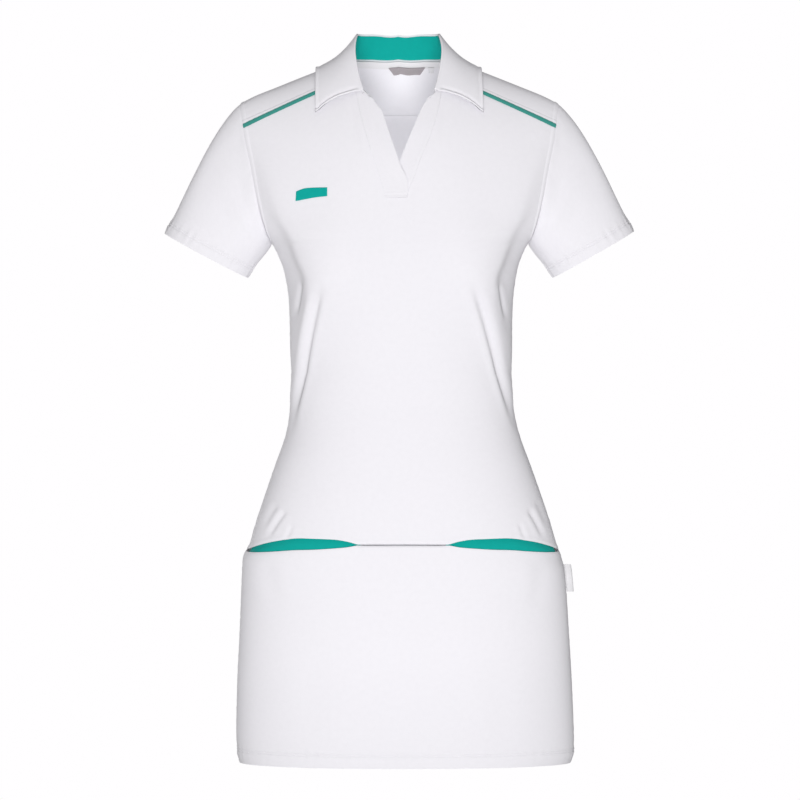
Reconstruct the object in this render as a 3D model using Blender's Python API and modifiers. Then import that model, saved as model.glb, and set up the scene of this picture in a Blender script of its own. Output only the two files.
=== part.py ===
"""Women's short-sleeved polo tunic in white stretch knit, filled out as worn, with nobody in it.

Metres, +Z up. The front faces -Y and the wearer's right side is at -X. The origin is between the two points
where the shoulder seams meet the neck, which is where the garment is held up.
"""

import math

import bpy
import numpy as np

# The cloth and its seams
CLOTH = 0.0012
COLLAR_CLOTH = 0.0016
TRIM_CLOTH = 0.0010
LABEL_CLOTH = 0.0008
SEAM_GAP = 0.0003
LAID_GAP = 0.0003
# What lies on the flat facets of a round panel is this much further off, to clear them at their corners
FACET_ROOM = 0.0005

# Heights on the garment
HEM = -0.842
UNDERARM = -0.221
PLACKET_END = -0.1696
FRONT_SEAM_AT_ARMHOLE = -0.0798
BACK_SEAM = -0.061
BACK_SEAM_AT_ARMHOLE = -0.066

# How far the shoulders take to roll over from the ridge to upright, in front and behind
FRONT_ROLL = 0.160
BACK_ROLL = 0.130
ROUNDNESS = 2.2

# The neck seam is two half ellipses in plan, and runs this many degrees past the shoulder to the front
NECK_HALF_WIDTH = 0.0635
NECK_BACK = 0.052
NECK_FRONT = 0.0995
NECK_FRONT_END = 48.0
NECK_AT_YOKE_SEAM = 31.5
NECK_AT_BACK_CORNER = 62.0

# A sleeve's hem is an ellipse: its centre, from there to its outer end, and from there to its front
CUFF = {
    "right": ((0.2325, -0.004, -0.2350), (0.0492, 0.0, 0.0264), (0.0008, -0.047, -0.0018)),
    "left": ((0.2312, -0.004, -0.2335), (0.0487, 0.0, 0.0276), (0.0008, -0.047, -0.0018)),
}
# How far the sleeve keeps its direction at the armhole and at the hem, as shares of its length
SLEEVE_LEAVES = 0.80
SLEEVE_ARRIVES = 0.9
# How much the top of the sleeve sets out along the shoulder rather than the arm, between these heights
CAP_SQUARENESS = 2.0
CAP_HEIGHTS = (-0.175, -0.055)

# The stand and the fall of the collar
FOLD_RADIUS = 0.0026
STAND_UNDER_FOLD = 0.0010
TAPE_STARTS = 0.0006
TAPE_WIDTH = 0.009
PIPING_WIDTH = 0.0060
PIPING_BELOW_SEAM = 0.0012
PIPING_STARTS = 0.3

# The pockets start this far from the middle
POCKET_START = 0.054

# The tab on the chest
TAB_SIZE = (0.036, 0.0115)
TAB_CENTRE = (-0.1035, -0.1643)
TAB_TILT = 0.135

# The labels inside the back neck: width, height and how far they are from the middle
NECK_LABEL = (0.0455, 0.0080, 0.0100)
SIZE_LABEL = (0.008, 0.006, 0.0400)
LABELS_BELOW_NECK = 0.0036
LABELS_NARROW_BY = 0.28
LABELS_OFF_YOKE = 0.0038
# The label in the side seam
SIDE_LABEL = (0.0085, 0.033)
SIDE_LABEL_TOP = -0.605
SIDE_LABEL_BENDS_BACK = 0.0015

# Columns across each half of the front and the back, in degrees from the middle to the side
COLUMNS = (0.0, 8.0, 16.8, 27.0, 37.0, 47.0, 57.0, 67.0, 78.5, 90.0)
# Between this height and the placket's end, the column next to the middle moves to the placket's seam
COLUMNS_STRAIGHT_BELOW = -0.30
SIDE_ROWS = (-0.545, -0.505, -0.465, -0.42, -0.372, -0.325, -0.285, -0.25, UNDERARM)
SKIRT_ROWS = (-0.63, -0.68, -0.74, -0.795, HEM)
FRONT_ARMHOLE_ROWS = (-0.2105, -0.193, PLACKET_END)
PLACKET_ROWS = 8
PLACKET_COLUMNS = 4
YOKE_ARMHOLE_ROWS = 5
BACK_ARMHOLE_ROWS = (-0.2105, -0.193, -0.1696, -0.145, -0.118, -0.092, BACK_SEAM_AT_ARMHOLE)
SLEEVE_ROWS = 6
# Rows of a pocket lining, as a row of the upper or lower front and the share of the way to its next one
LINING_ROWS_ABOVE = ((0, 0.36), (0, 0.12))
LINING_ROWS_BELOW = ((0, 0.25), (0, 0.65), (1, 0.0), (1, 0.5), (1, 1.0))


def table(names, *rows):
    """A table with named columns, kept with its rows in the order of the first column."""
    return dict(zip(names.split(), np.array(sorted(rows)).T))


# The garment's sections. Above the underarm the width is where the curve of the chest or back would close.
FORM = table(
    "height  width   front   back    lean",
    (0.040, 0.2500, 0.0940, 0.0970, -0.0030),
    (-0.053, 0.2350, 0.1010, 0.1010, -0.0015),
    (-0.097, 0.2180, 0.1075, 0.1000, -0.0010),
    (-0.132, 0.2040, 0.1120, 0.0990, -0.0008),
    (-0.169, 0.1900, 0.1165, 0.0980, -0.0007),
    (-0.208, 0.1655, 0.1205, 0.0950, -0.0005),
    (-0.221, 0.1532, 0.1215, 0.0935, -0.0005),
    (-0.235, 0.1460, 0.1220, 0.0915, -0.0005),
    (-0.254, 0.1395, 0.1215, 0.0885, 0.0000),
    (-0.288, 0.1345, 0.1170, 0.0820, 0.0005),
    (-0.330, 0.1330, 0.1090, 0.0750, 0.0005),
    (-0.372, 0.1320, 0.1030, 0.0720, 0.0010),
    (-0.414, 0.1338, 0.1030, 0.0770, 0.0015),
    (-0.432, 0.1362, 0.1045, 0.0810, 0.0020),
    (-0.450, 0.1404, 0.1065, 0.0860, 0.0025),
    (-0.486, 0.1560, 0.1110, 0.0980, 0.0028),
    (-0.522, 0.1668, 0.1150, 0.1090, 0.0030),
    (-0.558, 0.1776, 0.1180, 0.1170, 0.0030),
    (-0.580, 0.1840, 0.1195, 0.1200, 0.0030),
    (-0.594, 0.1900, 0.1205, 0.1215, 0.0020),
    (-0.612, 0.1932, 0.1215, 0.1235, 0.0035),
    (-0.684, 0.1974, 0.1235, 0.1260, 0.0045),
    (-0.756, 0.2010, 0.1235, 0.1270, 0.0050),
    (-0.810, 0.2024, 0.1225, 0.1265, 0.0055),
    (-0.828, 0.2014, 0.1215, 0.1255, 0.0060),
    (-0.842, 0.1978, 0.1205, 0.1245, 0.0055),
)
# The line of the shoulders, from the middle of the neck out
RIDGE = table(
    "across  height",
    (0.000, 0.0200),
    (0.030, 0.0145),
    (0.0635, 0.0000),
    (0.118, -0.0215),
    (0.148, -0.0335),
    (0.174, -0.0440),
    (0.191, -0.0530),
    (0.215, -0.0700),
    (0.260, -0.1300),
)
ARMHOLE = table(
    "height  across",
    (-0.040, 0.1915),
    (-0.053, 0.1910),
    (-0.0768, 0.1875),
    (-0.097, 0.1845),
    (-0.132, 0.1770),
    (-0.169, 0.1700),
    (-0.208, 0.1595),
    (-0.221, 0.1532),
)
BUST = {
    "across": 0.080,
    "height": -0.247,
    "depth": 0.019,
    "wide": 0.047,
    "above": 0.075,
    "below": 0.048,
}
# The hip seam, by its share of the half width at about its height
HIP = -0.580
HIP_SEAM = table(
    "share  height",
    (0.00, -0.5785),
    (0.65, -0.5790),
    (0.85, -0.5830),
    (1.00, -0.5880),
)
# The mouth of a pocket, by its share of the way from its inner end to the side seam
MOUTH = table(
    "share  rise    drop",
    (0.00, 0.0000, 0.0000),
    (0.10, 0.0040, 0.0030),
    (0.22, 0.0062, 0.0045),
    (0.42, 0.0072, 0.0063),
    (0.60, 0.0078, 0.0069),
    (0.78, 0.0070, 0.0060),
    (0.93, 0.0020, 0.0028),
    (1.00, 0.0000, 0.0000),
)
MOUTH_STANDS_OFF = 0.0032
# The placket strips: where each is sewn to the front, and its free edge, which crosses the other's
PLACKET_SEAM = table(
    "height  right    left",
    (-0.0180, -0.0541, 0.0541),
    (-0.0500, -0.0500, 0.0490),
    (-0.0895, -0.0412, 0.0385),
    (-0.1250, -0.0305, 0.0240),
    (-0.1430, -0.0245, 0.0179),
    (-0.1602, -0.0192, 0.0105),
    (PLACKET_END, -0.0178, 0.0086),
)
PLACKET_EDGE = table(
    "height  right    left",
    (-0.0454, -0.0422, 0.0422),
    (-0.0514, -0.0331, 0.0345),
    (-0.0559, -0.0282, 0.0301),
    (-0.0650, -0.0213, 0.0253),
    (-0.0830, -0.0153, 0.0174),
    (-0.1102, -0.0063, 0.0060),
    (-0.1295, 0.0001, -0.0018),
    (-0.1537, 0.0096, -0.0110),
    (PLACKET_END, 0.0080, -0.0160),
)
OVERLAP_LIFT = 0.0022
# The lift fades between these shares of the placket's height
OVERLAP_FADES = (0.36, 0.65)
# The collar, by degrees round the neck from the middle of the back. Its front edges bow up, by a turn.
COLLAR = table(
    "angle  off_seam  stand   inward  edge_x  edge_y  puff   bow",
    (0.0, 0.0009, 0.0329, 0.0063, 0.0000, 0.0720, 0.0040, 0.0),
    (30.0, 0.0009, 0.0322, 0.0078, 0.0480, 0.0690, 0.0030, 0.0),
    (60.0, 0.0009, 0.0324, 0.0100, 0.0860, 0.0480, -0.0020, 0.0),
    (90.0, 0.0009, 0.0294, 0.0150, 0.0978, 0.0080, -0.0045, 0.0),
    (117.0, 0.0011, 0.0183, 0.0060, 0.0985, -0.0345, -0.0010, 0.008),
    (130.0, 0.0014, 0.0095, 0.0026, 0.0988, -0.0600, 0.0015, 0.030),
    (138.0, 0.0018, 0.0044, 0.0004, 0.0985, -0.0735, 0.0020, 0.050),
)
# The collar's stand leans towards the middle of the neck, which is this far forward for its front ends
NECK_MIDDLE_FORWARD = 0.02
# The fold's section, in radii up the stand and out along the fall from the top of the stand
FOLD_SECTION = ((0.0, -0.2), (0.95, 0.33), (0.4, 1.2))
# Rows down the fall, by their share of the way from the fold to the edge
FALL_ROWS = (0.22, 0.45, 0.7, 1.0)
COLLAR_OVER_PIPING = 0.0035
# The turquoise stand ends at this many degrees round the neck, and starts this share of the way up
STAND_ENDS_AT = 118.0
STAND_STARTS = 0.06

UP = np.array((0.0, 0.0, 1.0))
FORWARD = np.array((0.0, -1.0, 0.0))
BACKWARD = np.array((0.0, 1.0, 0.0))
MIRROR = np.array((-1.0, 1.0, 1.0))

WHITE = (0.86, 0.855, 0.875, 1.0)
TURQUOISE = (0.0, 0.41, 0.36, 1.0)
LABEL_GREY = (0.40, 0.36, 0.38, 1.0)


def read(rows, column, at):
    """A column of a table at places in its first column, on a smooth curve that stays between its rows."""
    places = next(iter(rows.values()))
    values = rows[column]
    step = np.diff(places)
    slope = np.diff(values) / step
    before, after = slope[:-1], slope[1:]
    same_way = before * after > 0
    total = np.where(same_way, before + after, 1.0)
    tangent = np.concatenate(([slope[0]], np.where(same_way, 2 * before * after / total, 0.0), [slope[-1]]))
    at = np.clip(at, places[0], places[-1])
    k = np.clip(np.searchsorted(places, at) - 1, 0, len(step) - 1)
    t = (at - places[k]) / step[k]
    start = (1 + 2 * t) * (1 - t) ** 2 * values[k] + t * (1 - t) ** 2 * step[k] * tangent[k]
    end = t**2 * (3 - 2 * t) * values[k + 1] - t**2 * (1 - t) * step[k] * tangent[k + 1]
    return start + end


def smooth(value, low, high):
    """0 below low and 1 above high, with a smooth rise between."""
    t = np.clip((value - low) / (high - low), 0.0, 1.0)
    return t * t * (3 - 2 * t)


def unit(vectors):
    return vectors / np.maximum(np.linalg.norm(vectors, axis=-1, keepdims=True), 1e-12)


def stack(x, y, z):
    return np.stack(np.broadcast_arrays(x, y, z), axis=-1).astype(float)


# The body of the garment, before the small lean that the last step gives every piece


def depth_at(x, z, back):
    """How far the front or the back stands from the plane of the side seams."""
    across = np.clip(1 - (np.abs(x) / read(FORM, "width", z)) ** ROUNDNESS, 0, 1) ** (1 / ROUNDNESS)
    roll = BACK_ROLL if back else FRONT_ROLL
    drop = np.clip((read(RIDGE, "height", np.abs(x)) - z) / roll, 0, 1)
    over = np.sqrt(1 - (1 - drop) ** 2)
    depth = read(FORM, "back" if back else "front", z) * across * over
    if back:
        return depth
    up = z - BUST["height"]
    high = np.exp(-((up / np.where(up > 0, BUST["above"], BUST["below"])) ** 2))
    wide = np.exp(-(((np.abs(x) - BUST["across"]) / BUST["wide"]) ** 2))
    return depth + BUST["depth"] * high * wide * across


def on_front(x, z):
    return stack(x, -depth_at(x, z, False), z)


def on_back(x, z):
    return stack(x, depth_at(x, z, True), z)


def normal_at(x, z, back):
    """The direction straight out of the front or the back."""
    small = 1e-5
    across = (depth_at(x + small, z, back) - depth_at(x - small, z, back)) / (2 * small)
    up = (depth_at(x, z + small, back) - depth_at(x, z - small, back)) / (2 * small)
    return unit(stack(-across, np.full(np.shape(across), 1.0 if back else -1.0), -up))


def over_shoulder(x, turn):
    """A point of the yoke: turn is 0 on the line of the shoulders, and positive towards the front."""
    roll = np.where(turn > 0, FRONT_ROLL, BACK_ROLL)
    z = read(RIDGE, "height", np.abs(x)) - roll * (1 - np.cos(turn))
    y = np.where(turn > 0, -depth_at(x, z, False), depth_at(x, z, True))
    return stack(x, y, z)


def normal_over(x, turn):
    small = 1e-4
    across = over_shoulder(x + small, turn) - over_shoulder(x - small, turn)
    round_it = over_shoulder(x, turn + small) - over_shoulder(x, turn - small)
    normal = unit(np.cross(round_it, across))
    return normal * np.where(normal[..., 2:] < 0, -1.0, 1.0)


def turn_at(x, z, back):
    roll = BACK_ROLL if back else FRONT_ROLL
    drop = np.clip((read(RIDGE, "height", np.abs(x)) - z) / roll, 0, 1)
    return np.arccos(1 - drop) * (-1 if back else 1)


def turn_under(x, y):
    """The turn at which the yoke lies under a point of the plan, found by halving."""
    low, high = np.full(np.shape(x), -math.pi / 2), np.full(np.shape(x), math.pi / 2)
    for _ in range(40):
        middle = (low + high) / 2
        too_far_back = over_shoulder(x, middle)[..., 1] > y
        low = np.where(too_far_back, middle, low)
        high = np.where(too_far_back, high, middle)
    return (low + high) / 2


# Lines that neighbouring pieces share


def neck_plan(degrees):
    """The neck seam in plan, by degrees from the middle of the back; past 90 it is before the shoulder."""
    angle = np.radians(degrees)
    reach = np.where(np.abs(degrees) > 90, NECK_FRONT, NECK_BACK)
    return NECK_HALF_WIDTH * np.sin(angle), reach * np.cos(angle)


def neck(degrees):
    """The x and turn of the neck seam."""
    x, y = neck_plan(np.asarray(degrees, float))
    return x, turn_under(x, y)


def armhole_x(z):
    return read(ARMHOLE, "across", z)


def angle_of(x, z):
    return math.asin(min(1.0, float(x / read(FORM, "width", z))))


def row_between(inner, outer):
    """The x and z of a row of columns from an inner to an outer point, straight as seen from the front.

    All but the middle column are spread between them by angle round the section, as COLUMNS has them.
    """
    degrees = np.array(COLUMNS[1:])
    share = (degrees - degrees[0]) / (degrees[-1] - degrees[0])
    sine = np.sin(angle_of(*inner) + share * (angle_of(*outer) - angle_of(*inner)))
    part = (sine - sine[0]) / (sine[-1] - sine[0])
    return inner[0] + (outer[0] - inner[0]) * part, inner[1] + (outer[1] - inner[1]) * part


def whole_row(z, side="left"):
    """How far each column of one half is from the middle at a height, out to the side seam or the armhole."""
    outer = float(read(FORM, "width", z)) if z <= UNDERARM else float(armhole_x(z))
    near_placket = float(smooth(z, COLUMNS_STRAIGHT_BELOW, PLACKET_END))
    usual = float(read(FORM, "width", z)) * math.sin(math.radians(COLUMNS[1]))
    narrow = abs(float(PLACKET_SEAM[side][0]))
    inner = usual + (narrow - usual) * near_placket
    x, _ = row_between((inner, z), (outer, z))
    return np.concatenate(([0.0], x))


def mouth_at(x, column):
    """How far a pocket's mouth rises above or drops below the hip seam, 0 between the pockets."""
    half = float(read(FORM, "width", HIP))
    share = (x - POCKET_START) / (half - POCKET_START)
    return np.where(share > 0, read(MOUTH, column, np.clip(share, 0, 1)), 0.0)


def hip_seam_row():
    """The x and z of one half of the hip seam, from the middle to the side."""
    x = whole_row(HIP)
    z = read(HIP_SEAM, "height", x / x[-1])
    x[-1] = read(FORM, "width", z[-1])
    return x, z


def front_seam_row():
    """The x and z of the forward yoke seam, from the neck to the armhole."""
    start_x, _, start_z = over_shoulder(*neck(NECK_AT_YOKE_SEAM + 90))
    at_armhole = (float(armhole_x(FRONT_SEAM_AT_ARMHOLE)), FRONT_SEAM_AT_ARMHOLE)
    return row_between((float(start_x), float(start_z)), at_armhole)


def back_seam_row():
    """The x and z of one half of the back yoke seam."""
    x = whole_row(BACK_SEAM_AT_ARMHOLE)
    return x, BACK_SEAM + (BACK_SEAM_AT_ARMHOLE - BACK_SEAM) * (x / x[-1]) ** 2


def yoke_armhole():
    """The x and turn of the armhole from the forward seam over the shoulder to the back seam."""
    first = turn_at(armhole_x(FRONT_SEAM_AT_ARMHOLE), FRONT_SEAM_AT_ARMHOLE, False)
    last = turn_at(armhole_x(BACK_SEAM_AT_ARMHOLE), BACK_SEAM_AT_ARMHOLE, True)
    turn = np.linspace(first, last, YOKE_ARMHOLE_ROWS + 1)
    x = np.full(len(turn), 0.19)
    for _ in range(20):
        x = armhole_x(over_shoulder(x, turn)[:, 2])
    return x, turn


def placket_heights():
    """The heights of the rows along the placket's seam, from its end up to the neck."""
    _, _, top = over_shoulder(*neck(NECK_AT_YOKE_SEAM + 90))
    return PLACKET_END + (top - PLACKET_END) * np.linspace(0, 1, PLACKET_ROWS + 1)


def placket_seam(z, side):
    """How far a placket strip's seam is from the middle, up to where it meets the neck and the yoke."""
    top_x, _, top = over_shoulder(*neck(NECK_AT_YOKE_SEAM + 90))
    return float(top_x) if z > top - 1e-9 else abs(float(read(PLACKET_SEAM, side, z)))


def sleeve_line():
    """The closed line of the armhole, from the underarm up the front and down the back, and its normals."""
    z = np.array((UNDERARM, *FRONT_ARMHOLE_ROWS))
    up = np.linspace(PLACKET_END, FRONT_SEAM_AT_ARMHOLE, PLACKET_ROWS + 1)[1:]
    z = np.concatenate((z, up))
    x = armhole_x(z)
    over_x, over_turn = yoke_armhole()
    down = np.array(BACK_ARMHOLE_ROWS[::-1][1:])
    points = np.concatenate(
        (
            on_front(x, z),
            over_shoulder(over_x, over_turn)[1:],
            on_back(armhole_x(down), down),
        )
    )
    normals = np.concatenate(
        (
            normal_at(x, z, False),
            normal_over(over_x, over_turn)[1:],
            normal_at(armhole_x(down), down, True),
        )
    )
    normals[0] = (1.0, 0.0, 0.0)
    return points, normals


def sleeve_grid(side):
    """Rings of a sleeve, from the armhole to the hem, as rows of points with x growing outwards."""
    points, normals = sleeve_line()
    centre, out, front = np.array(CUFF[side])
    along = unit(np.roll(points, -1, axis=0) - np.roll(points, 1, axis=0))
    away = unit(np.cross(along, normals))
    away = away * np.where(away[:, :1] < 0, -1.0, 1.0)
    axis = unit(np.cross(out, front))
    axis = axis * (-1 if axis[2] > 0 else 1)
    square = CAP_SQUARENESS * smooth(points[:, 2], *CAP_HEIGHTS)[:, None]
    leaves = unit(axis + square * away)
    length = np.linalg.norm(np.diff(points, axis=0, append=points[:1]), axis=1)
    top = int(np.argmax(points[:, 2]))
    round_it = np.concatenate(([0], np.cumsum(length)))
    share = np.where(
        np.arange(len(points)) <= top,
        round_it[:-1] / round_it[top] / 2,
        0.5 + (round_it[:-1] - round_it[top]) / (round_it[-1] - round_it[top]) / 2,
    )
    angle = math.pi * (1 - 2 * share)[:, None]
    cuff = centre + np.cos(angle) * out + np.sin(angle) * front
    reach = np.linalg.norm(cuff - points, axis=1)[:, None]
    rings = []
    for t in np.linspace(0, 1, SLEEVE_ROWS + 1):
        start = (1 + 2 * t) * (1 - t) ** 2 * points + t * (1 - t) ** 2 * SLEEVE_LEAVES * reach * leaves
        end = t**2 * (3 - 2 * t) * cuff - t**2 * (1 - t) * SLEEVE_ARRIVES * reach * axis
        rings.append(start + end)
    return np.array(rings)


def sleeve_normals(rings):
    round_it = np.roll(rings, -1, axis=1) - np.roll(rings, 1, axis=1)
    down = np.gradient(rings, axis=0)
    normal = unit(np.cross(round_it, down))
    middle = rings.mean(axis=1, keepdims=True)
    outward = ((rings - middle) * normal).sum(axis=-1, keepdims=True)
    return normal * np.where(outward < 0, -1.0, 1.0)


# How pieces are made


def material(name, colour, roughness):
    made = bpy.data.materials.get(name)
    if made is None:
        made = bpy.data.materials.new(name)
        made.use_nodes = True
        shader = made.node_tree.nodes["Principled BSDF"]
        shader.inputs["Base Color"].default_value = colour
        shader.inputs["Roughness"].default_value = roughness
        shader.inputs["Metallic"].default_value = 0.0
    return made


def lean(points):
    """The garment hangs a little to one side, more so towards the hem."""
    leaned = points.copy()
    leaned[..., 0] += read(FORM, "lean", points[..., 2])
    return leaned


def new_object(name, points, faces, finish):
    mesh = bpy.data.meshes.new(name)
    mesh.from_pydata([tuple(p) for p in points], [], faces)
    mesh.validate()
    made = bpy.data.objects.new(name, mesh)
    GARMENT.objects.link(made)
    mesh.materials.append(finish)
    return made


def grid_faces(rows, columns, closed=False, skip=()):
    faces = []
    for r in range(rows - 1):
        for c in range(columns if closed else columns - 1):
            if (r, c) not in skip:
                d = (c + 1) % columns
                faces.append((r * columns + c, r * columns + d, (r + 1) * columns + d, (r + 1) * columns + c))
    return faces


def boundary(faces):
    """The edges that only one face has, in that face's direction."""
    edges = {}
    for face in faces:
        for a, b in zip(face, face[1:] + face[:1]):
            edges[(a, b)] = True
    return [(a, b) for a, b in edges if (b, a) not in edges]


def facing_out(points, faces, inward):
    """The faces, turned round if they look the way that the wall grows."""
    total = 0.0
    for face in faces:
        corners = points[list(face)]
        normal = np.cross(corners[2] - corners[0], corners[3] - corners[1])
        total += float(normal @ inward[list(face)].mean(axis=0))
    return faces if total < 0 else [face[::-1] for face in faces]


def draw_back_edges(points, faces):
    """Moves the points on the outline inwards in the cloth by half a seam's gap, square to the outline."""
    moved = points.copy()
    near = {}
    for face in faces:
        for a in face:
            near.setdefault(a, set()).update(face)
    for a, b in boundary(faces):
        line = unit(points[b] - points[a])
        for end, other in ((a, b), (b, a)):
            centre = np.mean([points[k] for k in near[end]], axis=0)
            inside = centre - points[end]
            inside = inside - (inside @ line) * line
            moved[end] = moved[end] + unit(inside) * SEAM_GAP / 2
    # A point between two edges in line was moved by both, so a straight outline is halved again.
    straight = {}
    for a, b in boundary(faces):
        straight.setdefault(a, []).append(unit(points[b] - points[a]))
        straight.setdefault(b, []).append(unit(points[b] - points[a]))
    for end, lines in straight.items():
        if len(lines) == 2 and float(lines[0] @ lines[1]) > 0.5:
            moved[end] = (moved[end] + points[end]) / 2
    return moved


def panel(name, points, inward, faces, finish, wall=CLOTH):
    """A wall of cloth whose two faces are a point's own direction apart.

    Neighbours share their points and directions along a seam, which a Solidify modifier wouldn't give them,
    so the seam's gap stays the same from the outer face to the inner one.
    """
    points, inward = points.reshape(-1, 3), inward.reshape(-1, 3)
    used = sorted({k for face in faces for k in face})
    renumber = {old: new for new, old in enumerate(used)}
    faces = [tuple(renumber[k] for k in face) for face in faces]
    points, inward = points[used], inward[used]
    faces = facing_out(points, faces, inward)
    outer = draw_back_edges(points, faces)
    inner = outer + inward * wall
    count = len(outer)
    shell = list(faces)
    shell += [tuple(k + count for k in face[::-1]) for face in faces]
    for a, b in boundary(faces):
        # Both pieces at a seam split its rim along the same diagonal, so that a twisted rim stays clear.
        if outer[a, 2] > outer[b, 2]:
            shell += [(b, a, b + count), (a, a + count, b + count)]
        else:
            shell += [(b, a, a + count), (b, a + count, b + count)]
    return new_object(name, lean(np.concatenate((outer, inner))), shell, finish)


def laid_strip(name, points, out, finish, wall, offset, even=True):
    """A strip of cloth from an open grid of points that face out, and a Solidify modifier.

    A strip that folds back on itself isn't kept to an even wall, which would give it spikes at the fold.
    """
    rows, columns = points.shape[:2]
    flat = points.reshape(-1, 3)
    away = np.broadcast_to(out, points.shape).reshape(-1, 3)
    faces = facing_out(flat, grid_faces(rows, columns), -away)
    made = new_object(name, lean(flat), faces, finish)
    thick = made.modifiers.new("wall", "SOLIDIFY")
    thick.thickness = wall
    thick.offset = offset
    thick.use_even_offset = even
    return made


# The pieces


def both_halves(left, right=None):
    """A whole row, from the wearer's right to the left, of two halves that start in the middle.

    Both are given with x growing outwards, and the right one is the mirror image of the left when left out.
    """
    right = left if right is None else right
    return np.concatenate((right[:0:-1] * MIRROR, left))


def armhole_directions():
    """The direction of the wall at each point of the armhole, which the body and the sleeve share."""
    _, normals = sleeve_line()
    return unit(-(normals + sleeve_normals(sleeve_grid("left"))[0]))


def front_upper_half(side):
    """Rows of one half of the upper front, from the hip seam to the yoke, and the wall's directions."""
    shared = armhole_directions()
    x, z = hip_seam_row()
    z = z + mouth_at(x, "rise")
    rows, directions = [on_front(x, z)], [-normal_at(x, z, False)]
    for height in (*SIDE_ROWS, *FRONT_ARMHOLE_ROWS):
        x = whole_row(height, side)
        z = np.full(len(x), height)
        rows.append(on_front(x, z))
        directions.append(-normal_at(x, z, False))
    # Beside the placket the rows start at its seam, and the middle column is only a place holder.
    armhole_heights = np.linspace(PLACKET_END, FRONT_SEAM_AT_ARMHOLE, PLACKET_ROWS + 1)
    for inner_z, outer_z in list(zip(placket_heights(), armhole_heights))[1:]:
        x, z = row_between((placket_seam(inner_z, side), inner_z), (float(armhole_x(outer_z)), outer_z))
        x, z = np.append(x[0], x), np.append(z[0], z)
        rows.append(on_front(x, z))
        directions.append(-normal_at(x, z, False))
    rows, directions = np.array(rows), np.array(directions)
    directions[len(SIDE_ROWS) :, -1] = shared[: len(rows) - len(SIDE_ROWS)]
    return rows, directions


def front_upper_rows():
    (left, left_in), (right, right_in) = front_upper_half("left"), front_upper_half("right")
    rows = np.array([both_halves(*pair) for pair in zip(left, right)])
    directions = np.array([both_halves(*pair) for pair in zip(left_in, right_in)])
    return rows, directions


def front_lower_rows():
    x, z = hip_seam_row()
    drop = mouth_at(x, "drop")
    inward = -normal_at(x, z - drop, False)
    stands_off = MOUTH_STANDS_OFF * drop / MOUTH["drop"].max()
    rows, directions = [on_front(x, z - drop) - inward * stands_off[:, None]], [inward]
    for height in SKIRT_ROWS:
        x = whole_row(height)
        z = np.full(len(x), height)
        rows.append(on_front(x, z))
        directions.append(-normal_at(x, z, False))
    return np.array([both_halves(r) for r in rows]), np.array([both_halves(d) for d in directions])


def make_fronts():
    cloth = material("white_knit", WHITE, 0.8)
    upper, upper_in = front_upper_rows()
    columns = upper.shape[1]
    middle = columns // 2
    beside_placket = range(len(upper) - PLACKET_ROWS - 1, len(upper) - 1)
    opening = {(r, c) for r in beside_placket for c in (middle - 1, middle)}
    panel("front_upper", upper, upper_in, grid_faces(*upper.shape[:2], skip=opening), cloth)
    lower, lower_in = front_lower_rows()
    panel("front_lower", lower, lower_in, grid_faces(*lower.shape[:2]), cloth)
    for side, name in ((-1, "pocket_lining_right"), (1, "pocket_lining_left")):
        make_lining(name, side, upper, upper_in, lower, lower_in)


def make_lining(name, side, upper, upper_in, lower, lower_in):
    """The turquoise lining that lies inside the front and shows in the pocket's mouth."""
    first = upper.shape[1] // 2 + side * COLUMNS.index(16.8)
    columns = [first + side * k for k in range(len(COLUMNS) - COLUMNS.index(16.8) - 1)]
    behind = CLOTH + LAID_GAP + FACET_ROOM

    def inside(rows, inward, row, share):
        points = rows[row, columns] + (rows[row + 1, columns] - rows[row, columns]) * share
        ways = unit(inward[row, columns] + (inward[row + 1, columns] - inward[row, columns]) * share)
        return points + ways * behind

    grid = [inside(upper, upper_in, row, share) for row, share in LINING_ROWS_ABOVE]
    grid += [inside(lower, lower_in, row, share) for row, share in LINING_ROWS_BELOW]
    turquoise = material("turquoise_knit", TURQUOISE, 0.7)
    laid_strip(name, np.array(grid), -upper_in[0, columns], turquoise, TRIM_CLOTH, -1)


def make_back():
    """The back in one piece, from the hem to the back yoke seam."""
    shared = armhole_directions()
    rows, directions = [], []
    for height in (*SKIRT_ROWS[::-1], HIP_SEAM["height"][-1], *SIDE_ROWS, *BACK_ARMHOLE_ROWS):
        x = whole_row(height)
        z = np.full(len(x), height)
        if height == BACK_SEAM_AT_ARMHOLE:
            x, z = back_seam_row()
        rows.append(on_back(x, z))
        directions.append(-normal_at(x, z, True))
    at_underarm = len(rows) - len(BACK_ARMHOLE_ROWS) - 1
    directions[at_underarm][-1] = shared[0]
    for k in range(1, len(BACK_ARMHOLE_ROWS) + 1):
        directions[at_underarm + k][-1] = shared[-k]
    rows = np.array([both_halves(r) for r in rows])
    directions = np.array([both_halves(d) for d in directions])
    panel("back", rows, directions, grid_faces(*rows.shape[:2]), material("white_knit", WHITE, 0.8))


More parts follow.
